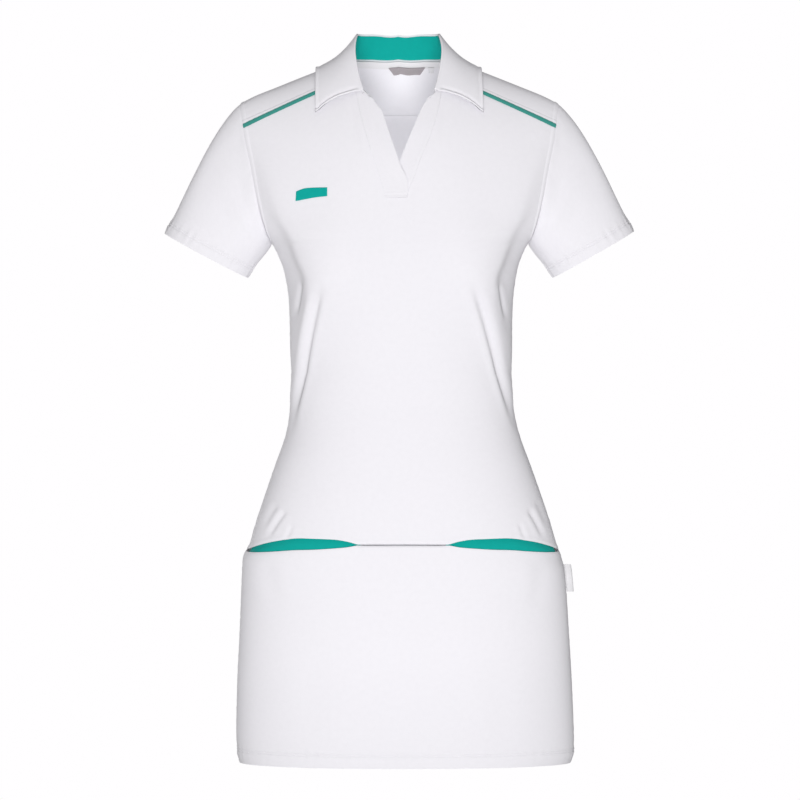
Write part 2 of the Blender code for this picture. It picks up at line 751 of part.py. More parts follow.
def yoke_grid():
    """Rows of the yoke, each from the neck out, from a forward seam round to the middle of the back."""
    seam_x, seam_z = front_seam_row()
    part = (seam_x - seam_x[0]) / (seam_x[-1] - seam_x[0])
    seam_turn = turn_at(seam_x, seam_z, False)
    arm_x, arm_turn = yoke_armhole()
    back_x, back_z = back_seam_row()
    back_turn = turn_at(back_x, back_z, True)
    outer_x = np.concatenate((arm_x, back_x[-2::-1]))
    outer_turn = np.concatenate((arm_turn, back_turn[-2::-1]))
    neck_degrees = np.concatenate(
        (
            np.linspace(NECK_AT_YOKE_SEAM + 90, NECK_AT_BACK_CORNER, YOKE_ARMHOLE_ROWS + 1),
            np.linspace(NECK_AT_BACK_CORNER, 0, len(back_x))[1:],
        )
    )
    inner_x, inner_turn = neck(neck_degrees)
    x = inner_x[:, None] + (outer_x - inner_x)[:, None] * part
    turn = inner_turn[:, None] + (outer_turn - inner_turn)[:, None] * part
    fade = (1 - np.clip(np.arange(len(x)) / YOKE_ARMHOLE_ROWS, 0, 1)) ** 2
    x = x + fade[:, None] * (seam_x - x[0])
    turn = turn + fade[:, None] * (seam_turn - turn[0])
    return over_shoulder(x, turn), -normal_over(x, turn), neck_degrees


def make_yoke():
    shared = armhole_directions()
    points, inward, _ = yoke_grid()
    seam_x, seam_z = front_seam_row()
    inward[0] = -normal_at(seam_x, seam_z, False)
    first = len(FRONT_ARMHOLE_ROWS) + PLACKET_ROWS
    for k in range(YOKE_ARMHOLE_ROWS + 1):
        inward[k, -1] = shared[first + k]
    back_x, back_z = back_seam_row()
    inward[YOKE_ARMHOLE_ROWS + 1 :, -1] = -normal_at(back_x, back_z, True)[-2::-1]
    whole = np.concatenate((points, points[-2::-1] * MIRROR))
    whole_in = np.concatenate((inward, inward[-2::-1] * MIRROR))
    panel("yoke", whole, whole_in, grid_faces(*whole.shape[:2]), material("white_knit", WHITE, 0.8))


def make_sleeves():
    for side, name, way in (("right", "sleeve_right", MIRROR), ("left", "sleeve_left", 1.0)):
        rings = sleeve_grid(side)
        inward = -sleeve_normals(rings)
        inward[0] = armhole_directions()
        faces = grid_faces(*rings.shape[:2], closed=True)
        panel(name, rings * way, inward * way, faces, material("white_knit", WHITE, 0.8))


def placket_grid(side, edge_lift):
    """Rows of one placket strip from its end up to the neck, each from its seam to its free edge."""
    sign = -1 if side == "right" else 1
    top_x, top_turn = neck(np.linspace(NECK_AT_YOKE_SEAM, NECK_FRONT_END, PLACKET_COLUMNS) + 90)
    top = over_shoulder(top_x, top_turn)
    across = np.linspace(0, 1, PLACKET_COLUMNS)
    rows, directions = [], []
    for k, seam_z in enumerate(placket_heights()):
        share = k / PLACKET_ROWS
        edge_z = PLACKET_END + (top[-1, 2] - PLACKET_END) * share
        seam_x, edge_x = sign * placket_seam(seam_z, side), float(read(PLACKET_EDGE, side, edge_z))
        x = seam_x + (edge_x - seam_x) * across
        z = seam_z + (edge_z - seam_z) * across
        if k == PLACKET_ROWS:
            x, z = sign * top[:, 0], top[:, 2]
        inward = -normal_at(x, z, False)
        lift = edge_lift * across * (1 - smooth(share, *OVERLAP_FADES))
        rows.append(on_front(x, z) - inward * lift[:, None])
        directions.append(inward)
    return np.array(rows), np.array(directions)


def make_plackets():
    """Where the strips cross, each is sewn flat, and the free edge of one lies over the other's seam."""
    strips = (("placket_top", "right", OVERLAP_LIFT), ("placket_under", "left", -OVERLAP_LIFT))
    for name, side, edge_lift in strips:
        points, inward = placket_grid(side, edge_lift)
        panel(name, points, inward, grid_faces(*points.shape[:2]), material("white_knit", WHITE, 0.8))


def collar_degrees():
    """The stations round the neck, from the middle of the back to the front end."""
    _, _, degrees = yoke_grid()
    front = np.linspace(NECK_AT_YOKE_SEAM, NECK_FRONT_END, PLACKET_COLUMNS)[1:] + 90
    return np.concatenate((degrees[::-1], front))


def collar_grid():
    """Points across the collar at each station round the neck: up the stand, over the fold and down."""
    degrees = collar_degrees()
    at = {name: read(COLLAR, name, degrees)[:, None] for name in COLLAR}
    foot_x, foot_turn = neck(degrees)
    foot = over_shoulder(foot_x, foot_turn)
    low = foot + normal_over(foot_x, foot_turn) * at["off_seam"]
    middle_y = -NECK_MIDDLE_FORWARD * smooth(degrees, 90, 120)
    inwards = unit(stack(-foot_x, middle_y - foot[:, 1], 0))
    fold = low + inwards * at["inward"] + UP * at["stand"]
    edge_x = at["edge_x"][:, 0]
    edge_turn = turn_under(edge_x, at["edge_y"][:, 0])
    edge = over_shoulder(edge_x, edge_turn) + normal_over(edge_x, edge_turn) * COLLAR_OVER_PIPING
    up, away = unit(fold - low), unit(edge - fold)
    under_fold = fold - up * FOLD_RADIUS
    rows = [low, (low + under_fold) / 2]
    rows += [under_fold + (up * high + away * out) * FOLD_RADIUS for high, out in FOLD_SECTION]
    beyond = rows[-1]
    for share in FALL_ROWS:
        body_x = foot_x + (edge_x - foot_x) * share
        body_turn = foot_turn + (edge_turn - foot_turn) * share
        unbowed = over_shoulder(body_x, body_turn)
        body_turn = body_turn - at["bow"][:, 0] * math.sin(math.pi * share)
        body, out = over_shoulder(body_x, body_turn), normal_over(body_x, body_turn)
        point = beyond + (edge - beyond) * share + body - unbowed
        point = point + out * at["puff"] * math.sin(math.pi * share)
        short = COLLAR_OVER_PIPING - ((point - body) * out).sum(axis=1, keepdims=True)
        rows.append(point + out * np.maximum(short, 0))
    return both_halves(np.array(rows).transpose(1, 0, 2)), degrees


def make_collar():
    grid, degrees = collar_grid()
    laid_strip("collar", grid, UP, material("white_knit", WHITE, 0.8), COLLAR_CLOTH, 0, even=False)
    # The turquoise stand lies on the inside of the collar's own, up to just under the fold.
    stations = int(np.argmax(degrees > STAND_ENDS_AT))
    middle = len(grid) // 2
    foot, halfway, top = grid[middle - stations + 1 : middle + stations, :3].transpose(1, 0, 2)
    up = top - foot
    inwards = unit(np.cross(np.gradient(foot, axis=0), up))
    inwards = inwards * np.where((inwards * foot).sum(axis=1, keepdims=True) > 0, -1.0, 1.0)
    stand = np.stack((foot + up * STAND_STARTS, halfway, top - unit(up) * STAND_UNDER_FOLD), axis=1)
    stand = stand + inwards[:, None] * (COLLAR_CLOTH / 2 + LAID_GAP + TRIM_CLOTH / 2)
    turquoise = material("turquoise_knit", TURQUOISE, 0.7)
    laid_strip("collar_stand", stand, inwards[:, None], turquoise, TRIM_CLOTH, 0)


def make_tape():
    """The tape inside the back neck, on the inner face of the yoke just below the neck seam."""
    points, inward, _ = yoke_grid()
    keep = slice(YOKE_ARMHOLE_ROWS - 1, None)
    outwards = unit(points[keep, 1] - points[keep, 0])
    near = points[keep, 0] + inward[keep, 0] * (CLOTH + LAID_GAP + FACET_ROOM / 2)
    half = np.stack((near + outwards * TAPE_STARTS, near + outwards * TAPE_WIDTH), axis=1)
    grid = np.concatenate((half, half[-2::-1] * MIRROR))
    laid_strip("neck_tape", grid, UP, material("white_tape", WHITE, 0.75), TRIM_CLOTH, -1)


def make_neck_labels():
    """The bare label and the small tag beside it, hanging from the tape inside the back neck."""
    for name, (wide, high, middle), finish in (
        ("neck_label", NECK_LABEL, material("label_grey", LABEL_GREY, 0.6)),
        ("size_label", SIZE_LABEL, material("label_white", WHITE, 0.6)),
    ):
        across = np.linspace(-wide / 2, wide / 2, 5)
        seam = over_shoulder(*neck(np.degrees(np.arcsin((middle + across) / NECK_HALF_WIDTH))))
        rows = []
        for drop, narrow in ((0.0, 1.0), (high, 1 - LABELS_NARROW_BY)):
            x = middle + across * narrow
            z = seam[:, 2] - LABELS_BELOW_NECK - drop
            rows.append(on_back(x, z) - normal_at(x, z, True) * LABELS_OFF_YOKE)
        laid_strip(name, np.array(rows), BACKWARD, finish, LABEL_CLOTH, 0)


def make_piping():
    seam_x, seam_z = front_seam_row()
    seam_x[0] += (seam_x[1] - seam_x[0]) * PIPING_STARTS
    seam_z[0] += (seam_z[1] - seam_z[0]) * PIPING_STARTS
    points, out = on_front(seam_x, seam_z), normal_at(seam_x, seam_z, False)
    across = unit(np.cross(np.gradient(points, axis=0), out))
    on_top = points + out * LAID_GAP + across * PIPING_BELOW_SEAM
    grid = np.stack([on_top + across * PIPING_WIDTH * k for k in (-0.5, 0.5)], axis=1)
    for name, way in (("piping_right", MIRROR), ("piping_left", 1.0)):
        laid_strip(name, grid * way, UP, material("turquoise_knit", TURQUOISE, 0.7), TRIM_CLOTH, 1)


def make_chest_tab():
    wide = np.linspace(-0.5, 0.5, 4) * TAB_SIZE[0]
    rows = []
    for high in (-0.5, 0.5):
        x = TAB_CENTRE[0] + wide
        z = TAB_CENTRE[1] + wide * TAB_TILT + high * TAB_SIZE[1]
        rows.append(on_front(x, z) + normal_at(x, z, False) * (LAID_GAP + FACET_ROOM / 2))
    turquoise = material("turquoise_knit", TURQUOISE, 0.7)
    laid_strip("chest_tab", np.array(rows), FORWARD, turquoise, TRIM_CLOTH, 1)


def make_side_label():
    """The folded label, sewn into the side seam of the lower part and standing straight out of it."""
    z = np.array((SIDE_LABEL_TOP, SIDE_LABEL_TOP - SIDE_LABEL[1]))
    side = read(FORM, "width", z) + LAID_GAP + FACET_ROOM / 2
    near = stack(side, 0, z)
    far = stack(side + SIDE_LABEL[0], SIDE_LABEL_BENDS_BACK, z)
    white = material("label_white", WHITE, 0.6)
    laid_strip("side_label", np.stack((near, far), axis=1), FORWARD, white, CLOTH, 0)


for old in list(bpy.data.objects):
    bpy.data.objects.remove(old)
GARMENT = bpy.data.collections.new("polo_tunic")
bpy.context.scene.collection.children.link(GARMENT)
make_fronts()
make_back()
make_yoke()
make_sleeves()
make_plackets()
make_collar()
make_tape()
make_neck_labels()
make_piping()
make_chest_tab()
make_side_label()
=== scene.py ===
"""Looks of a women's short-sleeved polo tunic in white stretch knit with turquoise trim.

Metres, +Z up. The front faces -Y and the wearer's right side is at -X.
"""

import math

import bpy
import numpy as np
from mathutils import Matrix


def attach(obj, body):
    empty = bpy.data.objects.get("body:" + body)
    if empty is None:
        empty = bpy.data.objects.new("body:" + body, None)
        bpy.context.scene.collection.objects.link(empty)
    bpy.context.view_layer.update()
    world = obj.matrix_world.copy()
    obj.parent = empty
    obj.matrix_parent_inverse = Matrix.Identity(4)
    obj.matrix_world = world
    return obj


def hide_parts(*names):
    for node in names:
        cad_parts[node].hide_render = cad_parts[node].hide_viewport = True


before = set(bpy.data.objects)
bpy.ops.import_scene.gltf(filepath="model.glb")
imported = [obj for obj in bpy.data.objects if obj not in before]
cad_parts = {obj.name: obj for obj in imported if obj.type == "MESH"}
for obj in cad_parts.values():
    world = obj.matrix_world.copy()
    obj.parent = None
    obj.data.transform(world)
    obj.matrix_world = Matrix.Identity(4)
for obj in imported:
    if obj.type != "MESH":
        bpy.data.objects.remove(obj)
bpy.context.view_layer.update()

# The camera
# It stands six metres in front of the tunic, level with the hips, as the photographer's did.
CAMERA_AT = (-0.0006, -6.0, -0.408)
bpy.ops.object.camera_add(location=CAMERA_AT, rotation=(math.radians(90), 0, 0))
camera = bpy.context.object
camera.data.sensor_width = 36
camera.data.lens = 225
bpy.context.scene.camera = camera

# The upper front
# One panel of white knit from the hip seam up to the forward yoke seams, open in the middle for the placket.
# Its armholes are topstitched, and its lower edge is turned under over the two pocket mouths.
KNIT_WALL = 0.0010
SEAM_GAP = 0.00004
UNDERARM = -0.221
PLACKET_END = -0.1696
FRONT_SEAM_AT_ARMHOLE = -0.0798
FRONT_ROLL = 0.160
BACK_ROLL = 0.130
ROUNDNESS = 2.2
NECK_HALF_WIDTH = 0.0635
NECK_BACK = 0.052
NECK_FRONT = 0.0995
NECK_AT_YOKE_SEAM = 31.5
MIDDLE_STRAIGHT_BELOW = -0.30
MIDDLE_COLUMN = 0.139
POCKET_START = 0.054
HIP = -0.580
ABOVE_HIP_ROW = -0.545
# Distances from a seam at which a panel has rows or columns, close together where the topstitching is
NEAR_SEAM = (0.0, 0.0013, 0.0022, 0.0034, 0.0048, 0.0056, 0.0060, 0.0064, 0.0074, 0.0092)
TOPSTITCH = 0.0060
# How far a panel rolls into a seam, a topstitched band stands out, and the stitches pull it in and pucker it
SEAM_ROLL = 0.0006
ROLL_WIDTH = 0.0016
BAND_RISE = 0.00060
STITCH_DIP = 0.00045
STITCH_WIDTH = 0.0008
SEAM_PUCKER = 0.00026
PUCKER_LENGTH = 0.013
# Each side of the wearer with the sign of x on it, and the ways that the outside of a panel faces
SIDES = {"right": -1, "left": 1}
FORWARDS = (0.0, -1.0, 0.0)
BACKWARDS = (0.0, 1.0, 0.0)
UPWARDS = (0.0, 0.0, 1.0)


def table(names, *rows):
    """A table with named columns, kept with its rows in the order of the first column."""
    return dict(zip(names.split(), np.array(sorted(rows)).T))


# The garment's sections. Above the underarm the width is where the curve of the chest or back would close.
FORM = table(
    "height  width   front   back    lean",
    (0.040, 0.2500, 0.0940, 0.0970, -0.0030),
    (-0.053, 0.2350, 0.1010, 0.1010, -0.0015),
    (-0.097, 0.2180, 0.1075, 0.1000, -0.0010),
    (-0.132, 0.2040, 0.1120, 0.0990, -0.0008),
    (-0.169, 0.1900, 0.1165, 0.0980, -0.0007),
    (-0.208, 0.1655, 0.1205, 0.0950, -0.0005),
    (-0.221, 0.1532, 0.1215, 0.0935, -0.0005),
    (-0.235, 0.1460, 0.1220, 0.0915, -0.0005),
    (-0.254, 0.1395, 0.1215, 0.0885, 0.0000),
    (-0.288, 0.1345, 0.1170, 0.0820, 0.0005),
    (-0.330, 0.1330, 0.1090, 0.0750, 0.0005),
    (-0.372, 0.1320, 0.1030, 0.0720, 0.0010),
    (-0.414, 0.1338, 0.1030, 0.0770, 0.0015),
    (-0.432, 0.1362, 0.1045, 0.0810, 0.0020),
    (-0.450, 0.1404, 0.1065, 0.0860, 0.0025),
    (-0.486, 0.1532, 0.1110, 0.0980, 0.0028),
    (-0.522, 0.1657, 0.1150, 0.1090, 0.0030),
    (-0.558, 0.1776, 0.1180, 0.1170, 0.0030),
    (-0.580, 0.1840, 0.1195, 0.1200, 0.0030),
    (-0.594, 0.1900, 0.1205, 0.1215, 0.0020),
    (-0.612, 0.1932, 0.1215, 0.1235, 0.0035),
    (-0.684, 0.1974, 0.1235, 0.1260, 0.0045),
    (-0.756, 0.2010, 0.1235, 0.1270, 0.0050),
    (-0.810, 0.2024, 0.1225, 0.1265, 0.0055),
    (-0.828, 0.2014, 0.1215, 0.1255, 0.0060),
    (-0.842, 0.1978, 0.1205, 0.1245, 0.0055),
)
RIDGE = table(
    "across  height",
    (0.000, 0.0200),
    (0.030, 0.0145),
    (0.0635, 0.0000),
    (0.118, -0.0215),
    (0.148, -0.0335),
    (0.174, -0.0440),
    (0.191, -0.0530),
    (0.215, -0.0700),
    (0.260, -0.1300),
)
ARMHOLE = table(
    "height  across",
    (-0.040, 0.1915),
    (-0.053, 0.1910),
    (-0.0768, 0.1875),
    (-0.097, 0.1845),
    (-0.132, 0.1770),
    (-0.169, 0.1700),
    (-0.208, 0.1595),
    (-0.221, 0.1532),
)
BUST = {
    "across": 0.080,
    "height": -0.247,
    "depth": 0.019,
    "wide": 0.047,
    "above": 0.075,
    "below": 0.048,
}
HIP_SEAM = table(
    "share  height",
    (0.00, -0.5785),
    (0.65, -0.5790),
    (0.85, -0.5830),
    (1.00, -0.5880),
)
MOUTH = table(
    "share  rise    drop",
    (0.00, 0.0005, 0.0005),
    (0.10, 0.0040, 0.0030),
    (0.22, 0.0062, 0.0045),
    (0.42, 0.0072, 0.0063),
    (0.60, 0.0078, 0.0069),
    (0.78, 0.0070, 0.0060),
    (0.93, 0.0046, 0.0034),
    (1.00, 0.0016, 0.0006),
)
PLACKET_SEAM = table(
    "height  right    left",
    (-0.0180, -0.0541, 0.0541),
    (-0.0500, -0.0500, 0.0490),
    (-0.0895, -0.0412, 0.0385),
    (-0.1250, -0.0305, 0.0240),
    (-0.1430, -0.0245, 0.0179),
    (-0.1602, -0.0192, 0.0105),
    (PLACKET_END, -0.0178, 0.0086),
)
# Soft folds of the front as seen from the front: start, end, bow to the side, depth and half width.
# Those below the bust run down the waist; the short ones stand above the pockets' outer ends.
FRONT_FOLDS = (
    ((-0.0880, -0.2735), (-0.1320, -0.4380), 0.0018, 0.0048, 0.0040),
    ((-0.1140, -0.2680), (-0.1235, -0.3080), 0.0004, 0.0020, 0.0034),
    ((0.0815, -0.2715), (0.1325, -0.4330), -0.0018, 0.0048, 0.0040),
    ((0.1125, -0.2700), (0.1225, -0.3100), -0.0004, 0.0021, 0.0034),
    ((-0.1395, -0.5400), (-0.1600, -0.5700), 0.0012, 0.0022, 0.0032),
    ((-0.1310, -0.5560), (-0.1385, -0.5740), 0.0004, 0.0012, 0.0026),
    ((-0.1500, -0.5320), (-0.1640, -0.5600), 0.0010, 0.0010, 0.0040),
    ((0.1490, -0.5380), (0.1665, -0.5700), -0.0012, 0.0022, 0.0032),
    ((0.1375, -0.5540), (0.1450, -0.5740), -0.0004, 0.0012, 0.0026),
    ((0.1590, -0.5280), (0.1710, -0.5600), -0.0010, 0.0010, 0.0040),
    ((-0.0560, -0.0600), (-0.0500, -0.1040), 0.0010, 0.0007, 0.0040),
    ((0.0545, -0.0580), (0.0480, -0.0980), -0.0010, 0.0006, 0.0040),
)
# Beside the bust the cloth turns sharply to the side, along this line, and drapes from it to the armhole
SIDE_RIDGE = table(
    "height  across  push",
    (-0.1050, 0.1640, 0.0000),
    (-0.1400, 0.1540, 0.0028),
    (-0.1870, 0.1370, 0.0066),
    (-0.2130, 0.1200, 0.0098),
    (-0.2430, 0.1070, 0.0125),
    (-0.2660, 0.0990, 0.0130),
    (-0.2900, 0.1010, 0.0115),
    (-0.3140, 0.1070, 0.0084),
    (-0.3370, 0.1140, 0.0050),
    (-0.3750, 0.1230, 0.0000),
)


def read(rows, column, at):
    """A column of a table at places in its first column, on a smooth curve that stays between its rows."""
    places = next(iter(rows.values()))
    values = rows[column]
    step = np.diff(places)
    slope = np.diff(values) / step
    before, after = slope[:-1], slope[1:]
    same_way = before * after > 0
    total = np.where(same_way, before + after, 1.0)
    tangent = np.concatenate(([slope[0]], np.where(same_way, 2 * before * after / total, 0.0), [slope[-1]]))
    at = np.clip(at, places[0], places[-1])
    k = np.clip(np.searchsorted(places, at) - 1, 0, len(step) - 1)
    t = (at - places[k]) / step[k]
    start = (1 + 2 * t) * (1 - t) ** 2 * values[k] + t * (1 - t) ** 2 * step[k] * tangent[k]
    end = t**2 * (3 - 2 * t) * values[k + 1] - t**2 * (1 - t) * step[k] * tangent[k + 1]
    return start + end


def smooth(value, low, high):
    """0 below low and 1 above high, with a smooth rise between."""
    t = np.clip((value - low) / (high - low), 0.0, 1.0)
    return t * t * (3 - 2 * t)


def bump(distance, width):
    return np.exp(-((distance / width) ** 2))


def uneven(along, length, seed):
    """Waves of about this length and of no fixed height, between -1 and 1, the same on each run."""
    turn = 2 * math.pi * along / length
    swell = 0.6 + 0.4 * np.sin(0.23 * turn + 1.7 * seed)
    return swell * (0.6 * np.sin(turn + seed) + 0.4 * np.sin(1.63 * turn + 2.9 * seed))


def unit(vectors):
    return vectors / np.maximum(np.linalg.norm(vectors, axis=-1, keepdims=True), 1e-12)


def stack(x, y, z):
    return np.stack(np.broadcast_arrays(x, y, z), axis=-1).astype(float)


def ridge_drop(x, z, roll):
    return np.clip((read(RIDGE, "height", np.abs(x)) - z) / roll, 0, 1)


def depth_at(x, z, back):
    """How far the front or the back stands from the plane of the side seams."""
    across = np.clip(1 - (np.abs(x) / read(FORM, "width", z)) ** ROUNDNESS, 0, 1) ** (1 / ROUNDNESS)
    over = np.sqrt(1 - (1 - ridge_drop(x, z, BACK_ROLL if back else FRONT_ROLL)) ** 2)
    depth = read(FORM, "back" if back else "front", z) * across * over
    if back:
        return depth
    up = z - BUST["height"]
    high = bump(up, np.where(up > 0, BUST["above"], BUST["below"]))
    return depth + BUST["depth"] * high * bump(np.abs(x) - BUST["across"], BUST["wide"]) * across


def on_front(x, z):
    return stack(x, -depth_at(x, z, False), z)


def over_shoulder(x, turn):
    """A point of the yoke: turn is 0 on the line of the shoulders, and positive towards the front."""
    z = read(RIDGE, "height", np.abs(x)) - np.where(turn > 0, FRONT_ROLL, BACK_ROLL) * (1 - np.cos(turn))
    return stack(x, np.where(turn > 0, -depth_at(x, z, False), depth_at(x, z, True)), z)


def turn_under(x, y):
    """The turn at which the yoke lies under a point of the plan, found by halving."""
    low, high = np.full(np.shape(x), -math.pi / 2), np.full(np.shape(x), math.pi / 2)
    for _ in range(40):
        middle = (low + high) / 2
        too_far_back = over_shoulder(x, middle)[..., 1] > y
        low = np.where(too_far_back, middle, low)
        high = np.where(too_far_back, high, middle)
    return (low + high) / 2


def neck(degrees):
    """The x and turn of the neck seam, by degrees round it from the middle of the back."""
    degrees = np.asarray(degrees, float)
    angle = np.radians(degrees)
    x = NECK_HALF_WIDTH * np.sin(angle)
    return x, turn_under(x, np.where(np.abs(degrees) > 90, NECK_FRONT, NECK_BACK) * np.cos(angle))


def outer_edge(z):
    """How far the side seam or the armhole is from the middle."""
    return np.where(z <= UNDERARM, read(FORM, "width", z), read(ARMHOLE, "across", z))


def spread(inner_x, inner_z, outer_x, outer_z, count):
    """Rows of x and z from inner to outer points, spaced by their angle round the garment."""
    start = np.arcsin(np.clip(inner_x / read(FORM, "width", inner_z), 0, 1))
    end = np.arcsin(np.clip(outer_x / read(FORM, "width", outer_z), 0, 1))
    sine = np.sin(start[:, None] + (end - start)[:, None] * np.linspace(0, 1, count))
    part = (sine - sine[:, :1]) / (sine[:, -1:] - sine[:, :1])
    x = inner_x[:, None] + (outer_x - inner_x)[:, None] * part
    return x, inner_z[:, None] + (outer_z - inner_z)[:, None] * part


def mouth(share, column):
    """How far a pocket's mouth rises or drops from the hip seam, by the share of the way to the side seam."""
    half = float(read(FORM, "width", HIP))
    return read(MOUTH, column, np.clip((share * half - POCKET_START) / (half - POCKET_START), 0, 1))


def to_hip_seam(x, z, column, far_row):
    """Rows near the hip seam moved on to it, and off it again by the time they reach the far row."""
    fade = np.clip((far_row - z) / (far_row - HIP), 0, 1)
    share = x / read(FORM, "width", z)
    way = 1 if column == "rise" else -1
    seam = read(HIP_SEAM, "height", share) + way * mouth(share, column)
    z = z + (seam - HIP) * fade
    return share * read(FORM, "width", z), z


def respace(lines, near_start, near_end, between):
    """Each line of points with its points at given distances from its two ends and evenly between them.

    Returns the points, how far each is from its line's start, and how far from its end.
    """
    step = np.linalg.norm(np.diff(lines, axis=1), axis=2)
    along = np.concatenate((np.zeros((len(lines), 1)), np.cumsum(step, axis=1)), axis=1)
    points, from_start = [], []
    for line, distance in zip(lines, along):
        even = np.linspace(near_start[-1], distance[-1] - near_end[-1], between + 2)[1:-1]
        at = np.concatenate((near_start, even, distance[-1] - np.array(near_end)[::-1]))
        points.append(np.stack([np.interp(at, distance, line[:, k]) for k in range(3)], axis=1))
        from_start.append(at)
    from_start = np.array(from_start)
    return np.array(points), from_start, along[:, -1:] - from_start


def respace_down(grid, near_start, near_end, between):
    """The same for a grid's columns, from its first row to its last."""
    turned, from_start, to_end = respace(grid.transpose(1, 0, 2), near_start, near_end, between)
    return turned.transpose(1, 0, 2), from_start.T, to_end.T


def length_down(grid):
    """How far down its columns each row of a grid is, measured along the middle one."""
    line = grid[:, grid.shape[1] // 2]
    step = np.linalg.norm(np.diff(line, axis=0), axis=1)
    return np.concatenate(([0.0], np.cumsum(step)))[:, None] * np.ones(grid.shape[1])


def folds(x, z, rows):
    """How far soft folds raise the cloth: a trough with a low ridge on each side, fading at its ends."""
    raised = np.zeros(np.shape(x))
    for start, end, bow, depth, width in rows:
        start, end = np.array(start), np.array(end)
        long = math.dist(start, end)
        ahead = (end - start) / long
        t = ((x - start[0]) * ahead[0] + (z - start[1]) * ahead[1]) / long
        aside = (x - start[0]) * ahead[1] - (z - start[1]) * ahead[0]
        aside = aside - bow * 4 * np.clip(t, 0, 1) * (1 - np.clip(t, 0, 1))
        there = smooth(t, -0.06, 0.16) * (1 - smooth(t, 0.65, 1.12))
        ridges = bump(aside - 1.9 * width, 1.2 * width) + 0.6 * bump(aside + 1.9 * width, 1.2 * width)
        raised = raised + depth * there * (0.35 * ridges - bump(aside, width))
    return raised


def side_ridge(x, z):
    """How far the cloth stands out along the line where the chest turns to the side."""
    beyond = np.abs(x) - read(SIDE_RIDGE, "across", z)
    return read(SIDE_RIDGE, "push", z) * bump(beyond, np.where(beyond > 0, 0.0140, 0.0300))


def seam_relief(distance, along, seed, topstitched=True):
    """A panel beside a seam: it rolls into it, and if topstitched has a padded band and small puckers."""
    raised = -SEAM_ROLL * bump(distance, ROLL_WIDTH)
    if topstitched:
        raised = raised + BAND_RISE * (1 - smooth(distance, TOPSTITCH - 0.0006, TOPSTITCH + 0.0012))
        raised = raised - STITCH_DIP * bump(distance - TOPSTITCH, STITCH_WIDTH)
    pucker = SEAM_PUCKER * uneven(along, PUCKER_LENGTH, seed) * bump(distance - TOPSTITCH, 0.0080)
    return raised + pucker * smooth(distance, 0.0, 0.0030)


def side_relief(to_side, z, along, armhole_seed, seam_seed):
    """A panel beside its plain side seam and, further up, beside the topstitched armhole."""
    plain = seam_relief(to_side, along, seam_seed, topstitched=False)
    stitched = seam_relief(to_side, along, armhole_seed)
    return plain + (stitched - plain) * smooth(z, UNDERARM - 0.004, UNDERARM + 0.006)


def hip_seam_roll(distance, x):
    """How deep a front panel rolls into the hip seam: deepest between the pockets, where it is sewn down."""
    sewn = 1 - smooth(np.abs(x), POCKET_START - 0.005, POCKET_START + 0.001)
    return (0.0004 + 0.0024 * sewn) * bump(distance, 0.0013)


def hand_of(x, z, seed):
    """The slight waviness that cloth keeps from handling."""
    slow = np.sin(31 * x + 17 * z + seed) * np.sin(23 * z - 9 * x + 2.1 * seed)
    quick = np.sin(71 * x - 38 * z + 3.3 * seed) * np.sin(57 * z + 44 * x + seed)
    return 0.00035 * slow + 0.00012 * quick


def normals_of(points, quads):
    corners = [points[quads[:, k]] for k in range(4)]
    face = np.cross(corners[2] - corners[0], corners[3] - corners[1])
    total = np.zeros_like(points)
    for k in range(4):
        np.add.at(total, quads[:, k], face)
    return unit(total)


def grid_quads(rows, columns):
    index = np.arange(rows * columns).reshape(rows, columns)
    return np.stack((index[:-1, :-1], index[:-1, 1:], index[1:, 1:], index[1:, :-1]), axis=-1).reshape(-1, 4)


